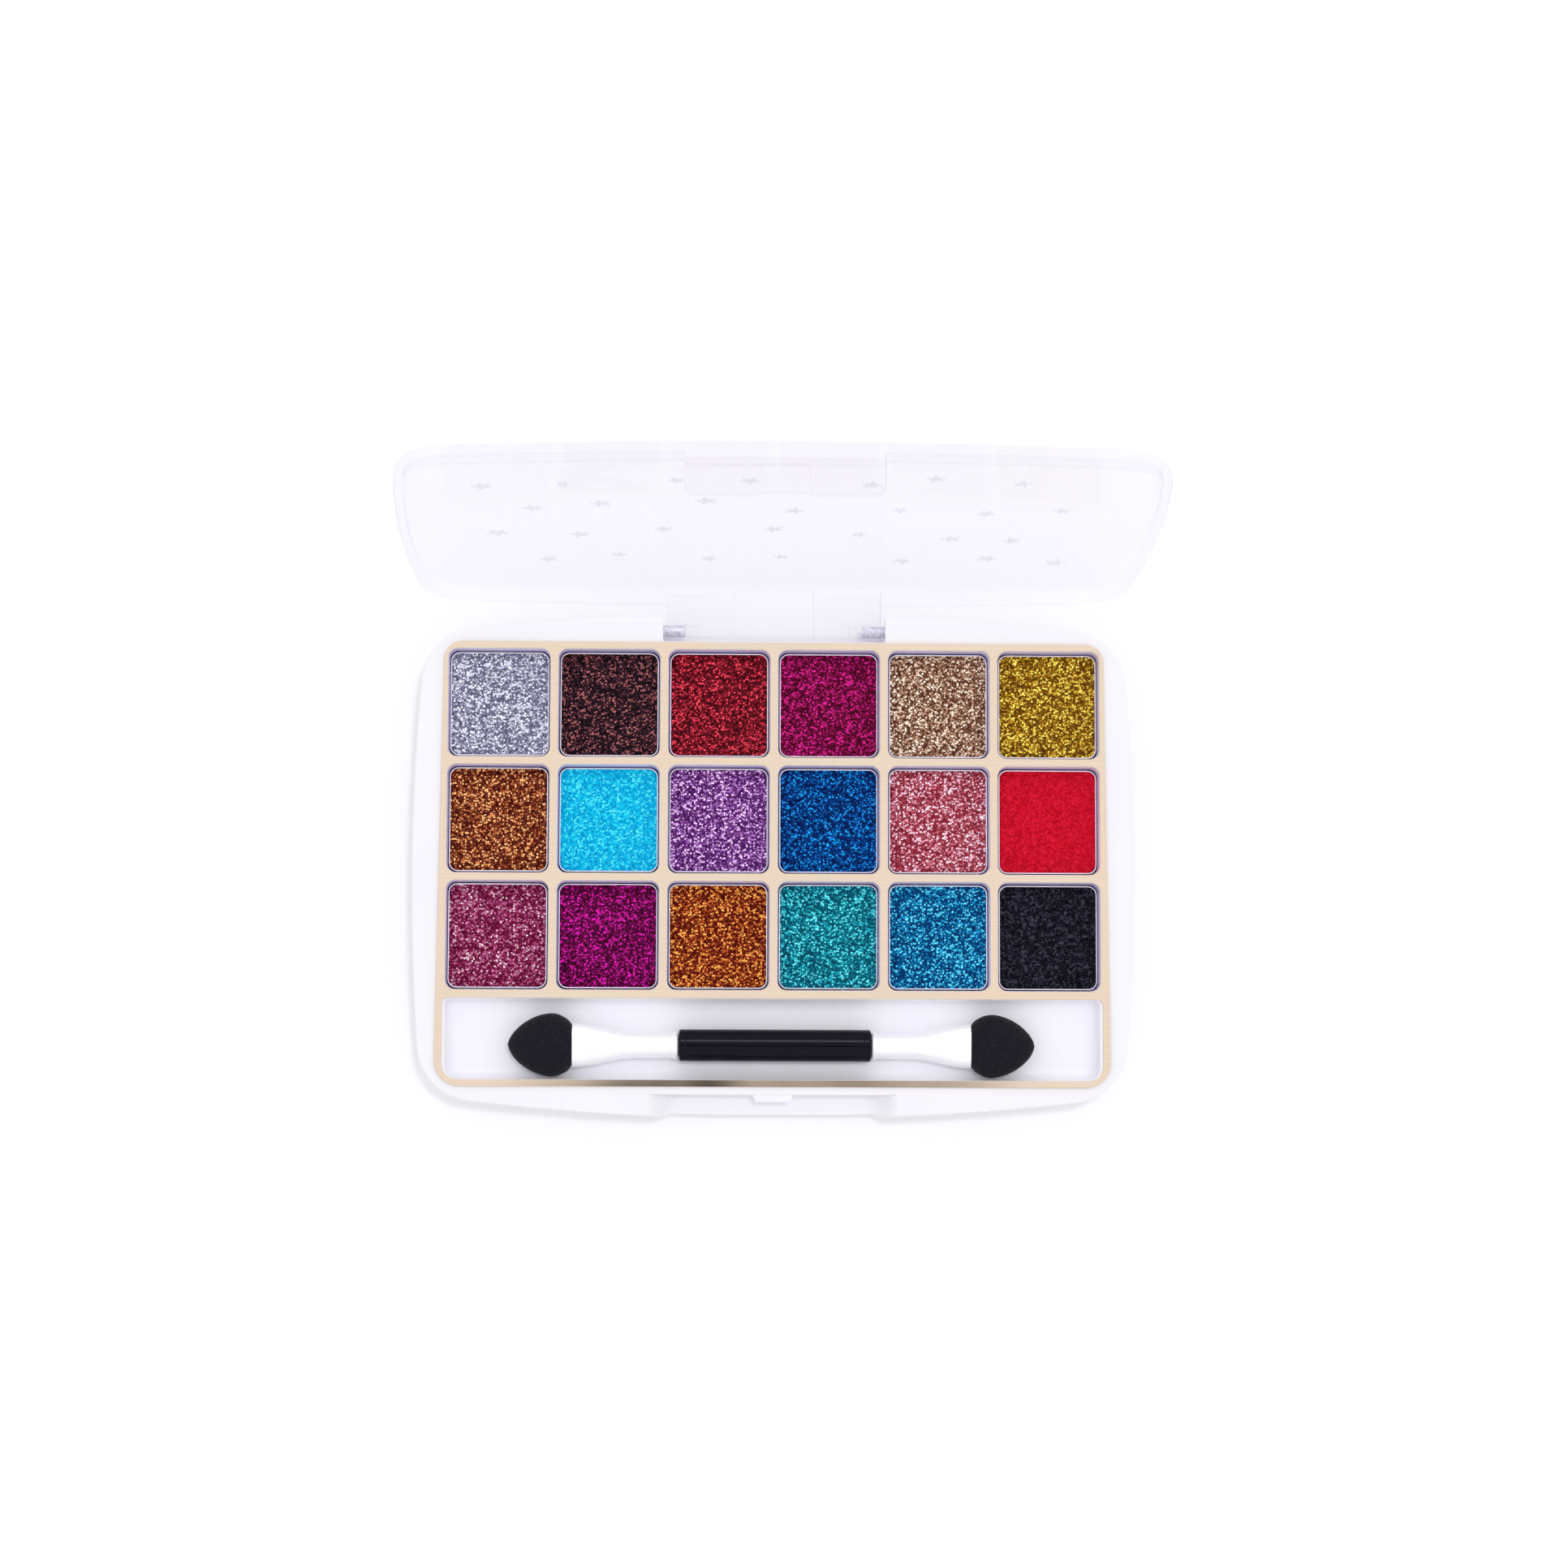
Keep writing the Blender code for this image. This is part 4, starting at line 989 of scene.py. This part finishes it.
def web_recess():
    roof = lid_z(LID_RIM_Z + LID_EDGE_DEPTH - LID_WALL)
    low = BLOCK_BOTTOM - 2 * MM
    front, back = BLOCK_FRONT - 1 * MM, BLOCK_BACK + 1 * MM
    profile = [(front, low), (back, low), (back, WEB_BOTTOM), (WEB_FRONT, WEB_BOTTOM), (WEB_FRONT, roof)]
    profile.append((front, roof))
    return flat_solid("web_recess", [profile], -WEB_HALF, WEB_HALF, ALONG_X)


def tab():
    bottom = lid_z(TAB_BOTTOM_Z)
    top = lid_z(TAB_TOP_Z)
    profile = [(TAB_HALF, top), (-TAB_HALF, top)]
    profile += arc((TAB_RADIUS - TAB_HALF, bottom + TAB_RADIUS), TAB_RADIUS, 180, 270, 10)
    profile += arc((TAB_HALF - TAB_RADIUS, bottom + TAB_RADIUS), TAB_RADIUS, 270, 360, 10)
    outer, inner = lid_y(TAB_OUTER_Y), lid_y(TAB_INNER_Y)
    return flat_solid("tab", [profile], -inner, -outer, ALONG_Y)


def tab_root():
    """A thickening behind the tab, up to the roof and clear of the plate when the lid is shut."""
    low, high = (lid_z(z) for z in (TAB_ROOT_LOW_Z, TAB_ROOT_HIGH_Z))
    inner, outer = lid_y(TAB_ROOT_Y), lid_y(TAB_OUTER_Y + 0.3 * MM)
    profile = [(-TAB_HALF, low), (TAB_HALF, low), (TAB_HALF, high), (-TAB_HALF, high)]
    return flat_solid("tab_root", [profile], -inner, -outer, ALONG_Y)


def nib_channel():
    inner = lid_y(TAB_INNER_Y)
    middle = inner - CHANNEL_DEPTH + 5 * MM
    loop = rounded_rectangle(0, middle, CHANNEL_HALF, 5 * MM, CHANNEL_RADIUS)
    low, high = lid_z(TAB_BOTTOM_Z - 1 * MM), lid_z(RIM_Z + 0.3 * MM)
    return flat_solid("nib_channel", [loop], low, high)


def make_lid():
    shell = hollowed(lid_skin(), LID_WALL)
    joins = [hinge_block(), tab(), tab_root()]
    cuts = [web_recess(), nib_channel()]
    for side in (-1, 1):
        nub = sorted((side * (STOP_NUB_X - STOP_NUB_WIDTH / 2), side * (STOP_NUB_X + STOP_NUB_WIDTH / 2)))
        joins.append(cylinder_x("stop_nub", STOP_NUB_RADIUS, *nub, *STOP_NUB_PLACE, segments=24))
        ends = sorted((side * LID_BORE_X, side * (BLOCK_HALF + 1 * MM)))
        cuts.append(cylinder_x("lid_bore", LID_BORE_RADIUS, *ends, 0, 0))
    mesh = carved(shell, joins, cuts)
    inner = lid_y(TAB_ROOT_Y + 0.05 * MM)
    for face in mesh.polygons:
        x, y, _ = face.center
        face.material_index = int(abs(x) < TAB_HALF + 0.05 * MM and y < inner)
    mesh.transform(LID_PLACE)
    add_piece("clear_lid", mesh, (clear_plastic(), solid_plastic()), "lid", "lid_clear", "lid")


def star_mesh(x, y, size, turn):
    """A five-pointed star printed on the closed lid's roof."""
    points = []
    for k in range(10):
        reach = size * (1.0 if k % 2 == 0 else STAR_WAIST)
        angle = turn + k * math.pi / 5
        points.append((x + reach * math.sin(angle), y + reach * math.cos(angle)))
    roof = lid_z(LID_RIM_Z + LID_EDGE_DEPTH - LID_WALL)
    crown = LID_CROWN * (1 - (max(abs(x) / HALF_WIDTH, abs(y) / HALF_DEPTH)) ** 2)
    return flat_solid("star", [points], roof + crown - STAR_SUNK, roof + crown + STAR_PROUD)


def make_stars():
    """Small stars scattered over the lid's roof, inside, in staggered rows."""
    rng = np.random.default_rng(SEED)
    ink = star_ink()
    bm = bmesh.new()
    for row in range(STAR_ROWS):
        for column in range(STAR_COLUMNS):
            x = (column - (STAR_COLUMNS - 1) / 2 + 0.5 * (row % 2) - 0.25) * STAR_STEP
            y = (row - (STAR_ROWS - 1) / 2) * STAR_STEP
            x += rng.uniform(-STAR_SCATTER, STAR_SCATTER)
            y += rng.uniform(-STAR_SCATTER, STAR_SCATTER)
            star = star_mesh(x, y, rng.uniform(*STAR_SIZES), rng.uniform(-STAR_TURN, STAR_TURN))
            star.transform(Matrix.Translation((0, -AXIS_Y, 0)))
            bm.from_mesh(star)
            bpy.data.meshes.remove(star)
    stars = add_piece("lid_stars", finished(bm, "lid_stars", LID_PLACE), ink, "lid", "lid_clear", "lid")
    stars.visible_shadow = False


def pin_mesh(length, radius):
    """A pin along X with a diamond knurl and bevelled ends."""
    rings = []
    for j in range(PIN_STEPS + 1):
        x = length * (j / PIN_STEPS - 0.5)
        twist = 2 * math.pi * PIN_TURNS * j / PIN_STEPS
        bevel = PIN_END_BEVEL if j in (0, PIN_STEPS) else 0
        ring = []
        for i in range(PIN_SIDES):
            angle = 2 * math.pi * i / PIN_SIDES
            crossing = PIN_RIDGES / 2 * angle
            groove = max(abs(math.cos(crossing + twist)), abs(math.cos(crossing - twist)))
            r = radius - PIN_GROOVE * groove**8 - bevel
            ring.append((x, r * math.cos(angle), r * math.sin(angle)))
        rings.append(ring)
    return loft("pin", rings)


def make_pins():
    steel = knurled_steel()
    for side, name in ((-1, "left"), (1, "right")):
        pin = pin_mesh(PIN_HIGH.x - PIN_LOW.x, (PIN_HIGH.z - PIN_LOW.z) / 2)
        pin.transform(Matrix.Translation((side * (PIN_LOW.x + PIN_HIGH.x) / 2, AXIS_Y, AXIS_Z)))
        add_piece(f"steel_pin_{name}", pin, steel, "base", "pin_steel", f"hinge_pin_{name}")


# --- applicator ---


def make_handle():
    radius = (HANDLE_HIGH.z - HANDLE_LOW.z) / 2
    centre_x = (HANDLE_LOW.x + HANDLE_HIGH.x) / 2
    half, tenon = HANDLE_LENGTH / 2, HANDLE_HIGH.x - centre_x
    neck = FERRULE_RADIUS - FERRULE_WALL - HANDLE_NECK_GAP
    rounding = arc((half - HANDLE_ROUND, radius - HANDLE_ROUND), HANDLE_ROUND, 0, 90, 6)
    grooves = [(half - inset * MM, radius - dip * MM) for inset, dip in ((0.9, 0), (1.0, 0.04), (1.1, 0))]
    right = [(tenon, 0), (tenon, neck), (half, neck), (half, neck + 0.2 * MM), *rounding, *grooves]
    profile = [(-x, r) for x, r in right] + [(x, r) for x, r in reversed(right)]
    place = Matrix.Translation((centre_x, APPLICATOR_Y, APPLICATOR_Z))
    mesh = rod("handle", profile, 72, place)
    add_piece("lacquered_handle", mesh, black_lacquer(), "applicator", "handle_black", "applicator_handle")


def oval(x, half_width, half_height, squareness, points=56):
    """A ring across X: a circle at squareness 1 and a flatter, boxier oval above it."""
    ring = []
    for i in range(points):
        angle = 2 * math.pi * i / points
        c, s = math.cos(angle), math.sin(angle)
        y = math.copysign(abs(c) ** (1 / squareness), c) * half_width
        z = math.copysign(abs(s) ** (1 / squareness), s) * half_height
        ring.append((x, y, z))
    return ring


def ferrule_rings(length):
    """A round tube with a bead and a groove at the handle, flattened towards the sponge."""
    bead_steps, flat_steps = 8, 18
    rings = []
    for i in range(bead_steps + 1):
        share = i / bead_steps
        radius = FERRULE_RADIUS + FERRULE_BEAD * math.sin(math.pi * share)
        rings.append(oval(share * FERRULE_BEAD_WIDTH, radius, radius, 1))
    for x, dent in ((0.8, 0.0), (0.95, 0.05), (1.1, 0.0)):
        rings.append(oval(x * MM, FERRULE_RADIUS - dent * MM, FERRULE_RADIUS - dent * MM, 1))
    rings.append(oval(FERRULE_STRAIGHT * length, FERRULE_RADIUS, FERRULE_RADIUS, 1))
    for i in range(1, flat_steps + 1):
        share = ease(i / flat_steps)
        width = FERRULE_RADIUS + share * (FERRULE_MOUTH_HALF_WIDTH - FERRULE_RADIUS)
        height = FERRULE_RADIUS + share * (FERRULE_MOUTH_HALF_HEIGHT - FERRULE_RADIUS)
        x = (FERRULE_STRAIGHT + (1 - FERRULE_STRAIGHT) * i / flat_steps) * length
        rings.append(oval(x, width, height, 1 + 0.1 * share))
    return rings


def sponge_mesh(index):
    """A teardrop foam pad, widest a third of the way from the ferrule, with a slightly lumpy skin."""
    neck_width = FERRULE_MOUTH_HALF_WIDTH - FERRULE_WALL - SPONGE_NECK_GAP
    neck_height = FERRULE_MOUTH_HALF_HEIGHT - FERRULE_WALL - SPONGE_NECK_GAP
    rings = [oval(-SPONGE_BURIED, neck_width, neck_height, 1), oval(0.02 * MM, neck_width, neck_height, 1)]
    steps = 44
    for i in range(steps + 1):
        share = i / steps
        if share < SPONGE_WIDEST:
            size = SPONGE_ROOT + (1 - SPONGE_ROOT) * math.sin(math.pi / 2 * share / SPONGE_WIDEST)
        else:
            size = (1 - ((share - SPONGE_WIDEST) / (1 - SPONGE_WIDEST)) ** 1.75) ** 0.62
        size = max(size, 0.02)
        lip = min(1.0, 0.86 + 0.14 * math.sqrt(min(1.0, share * 14)))
        width, height = SPONGE_HALF_WIDTH * size, SPONGE_HALF_HEIGHT * min(1.0, size) ** 0.7
        rings.append(oval(share * SPONGE_LENGTH, width * lip, height * lip, 1.1))
    mesh = loft("sponge", rings)
    for vert in mesh.vertices:
        if vert.co.x > 0.1 * MM:
            place = vert.co / SPONGE_LUMP + Vector((11.0 * index, 0, 0))
            fine = vert.co / SPONGE_PORE
            depth = 0.6 * abs(noise.noise(place)) + 0.4 * abs(noise.noise(fine))
            vert.co -= vert.normal * SPONGE_DENTS * depth
    return mesh


def make_tips():
    silver, black = satin_silver(), foam()
    centre_x = (HANDLE_LOW.x + HANDLE_HIGH.x) / 2
    for index, (side, name) in enumerate(((-1, "left"), (1, "right"))):
        low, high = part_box(f"ferrule_{name}")
        length = high.x - low.x
        start = centre_x + side * (HANDLE_LENGTH / 2 + FERRULE_GAP)
        turn = Matrix.Rotation(math.pi if side < 0 else 0, 4, "Z")
        skin = loft("ferrule", ferrule_rings(length), cap_first=False, cap_last=False)
        tube = hollowed(skin, FERRULE_WALL)
        tube.transform(Matrix.Translation((start, APPLICATOR_Y, APPLICATOR_Z)) @ turn)
        add_piece(f"silver_ferrule_{name}", tube, silver, "applicator", "ferrule_silver", f"ferrule_{name}")
        pad = sponge_mesh(index)
        pad.transform(Matrix.Translation((start + side * length, APPLICATOR_Y, APPLICATOR_Z)) @ turn)
        tip = add_piece(f"foam_tip_{name}", pad, black, "applicator", "sponge_foam", f"sponge_{name}")


# --- studio ---


def card(name, centre, width, depth, material):
    bm = bmesh.new()
    bmesh.ops.create_grid(bm, x_segments=1, y_segments=1, size=0.5)
    bmesh.ops.scale(bm, verts=bm.verts, vec=(width, depth, 1))
    mesh = plain_mesh(bm, name)
    mesh.materials.append(material)
    obj = bpy.data.objects.new(name, mesh)
    obj.location = centre
    bpy.context.scene.collection.objects.link(obj)
    return obj


def make_black_card():
    """A dark flag round the camera, seen only in gloss: patchy, and thin towards its ends."""
    tree = Tree("flag_black", roughness=1.0, specular_ior_level=0.0)
    place = tree.add("SeparateXYZ", vector=tree.where()).outputs["X"]
    from_middle = tree.math("ABSOLUTE", place)
    thinning = tree.span(from_middle, 1.0, 0.0, FLAG_FADE_START, FLAG_FADE_END)
    patches = tree.span(tree.noise(1.0, 2, tree.where((55, 12, 12))), 0.4, 1.0, 0.35, 0.65)
    cover = tree.math("MULTIPLY", thinning, patches)
    tree.set(tree.shader, base_color=(0.015, 0.015, 0.015, 1), alpha=cover)
    flag = card("camera_flag", FLAG_PLACE, FLAG_WIDTH, FLAG_DEPTH, tree.material)
    for kind in ("camera", "diffuse", "transmission", "volume_scatter", "shadow"):
        setattr(flag, f"visible_{kind}", False)


def make_world():
    world = bpy.data.worlds.new("studio")
    world.use_nodes = True
    background = world.node_tree.nodes["Background"]
    background.inputs["Color"].default_value = (0.965, 0.96, 1.0, 1)
    background.inputs["Strength"].default_value = WORLD_STRENGTH
    bpy.context.scene.world = world


def make_lamp(name, place, target, size, power, color):
    light = bpy.data.lights.new(name, "AREA")
    light.shape = "RECTANGLE"
    light.size, light.size_y = size
    light.energy = power
    light.color = color
    lamp = bpy.data.objects.new(name, light)
    lamp.location = place
    lamp.rotation_euler = (Vector(target) - Vector(place)).to_track_quat("-Z", "Y").to_euler()
    bpy.context.scene.collection.objects.link(lamp)
    return lamp


def make_camera():
    data = bpy.data.cameras.new("camera")
    data.lens = CAMERA_LENS
    data.clip_start, data.clip_end = 0.01, 20
    camera = bpy.data.objects.new("camera", data)
    look = (CAMERA_AIM - CAMERA_PLACE).normalized()
    right = look.cross(Vector((0, 1, 0))).normalized()
    up = (right.cross(look) - right * CAMERA_ROLL).normalized()
    right = look.cross(up)
    turn = Matrix((right, up, -look)).transposed().to_4x4()
    camera.matrix_world = Matrix.Translation(CAMERA_PLACE) @ turn
    bpy.context.scene.collection.objects.link(camera)
    bpy.context.scene.camera = camera


def make_studio():
    bpy.context.scene.view_settings.view_transform = "Standard"
    bpy.context.scene.cycles.transparent_max_bounces = 32
    bpy.context.scene.cycles.diffuse_bounces = 8
    card("studio_floor", (0, 0, -FLOOR_GAP), FLOOR_SIZE, FLOOR_SIZE, floor_white())
    make_black_card()
    make_world()
    key = make_lamp("key", KEY_PLACE, (0, 0, 0), KEY_SIZE, KEY_POWER, (1.0, 0.99, 0.95))
    key.visible_glossy = False
    strip = make_lamp("strip", STRIP_PLACE, STRIP_TARGET, STRIP_SIZE, STRIP_POWER, (0.88, 0.88, 1.0))
    strip.visible_diffuse = False
    make_camera()


make_case()
make_tray()
make_plate()
make_pans()
make_lid()
make_stars()
make_pins()
make_handle()
make_tips()
make_studio()

bpy.context.view_layer.update()
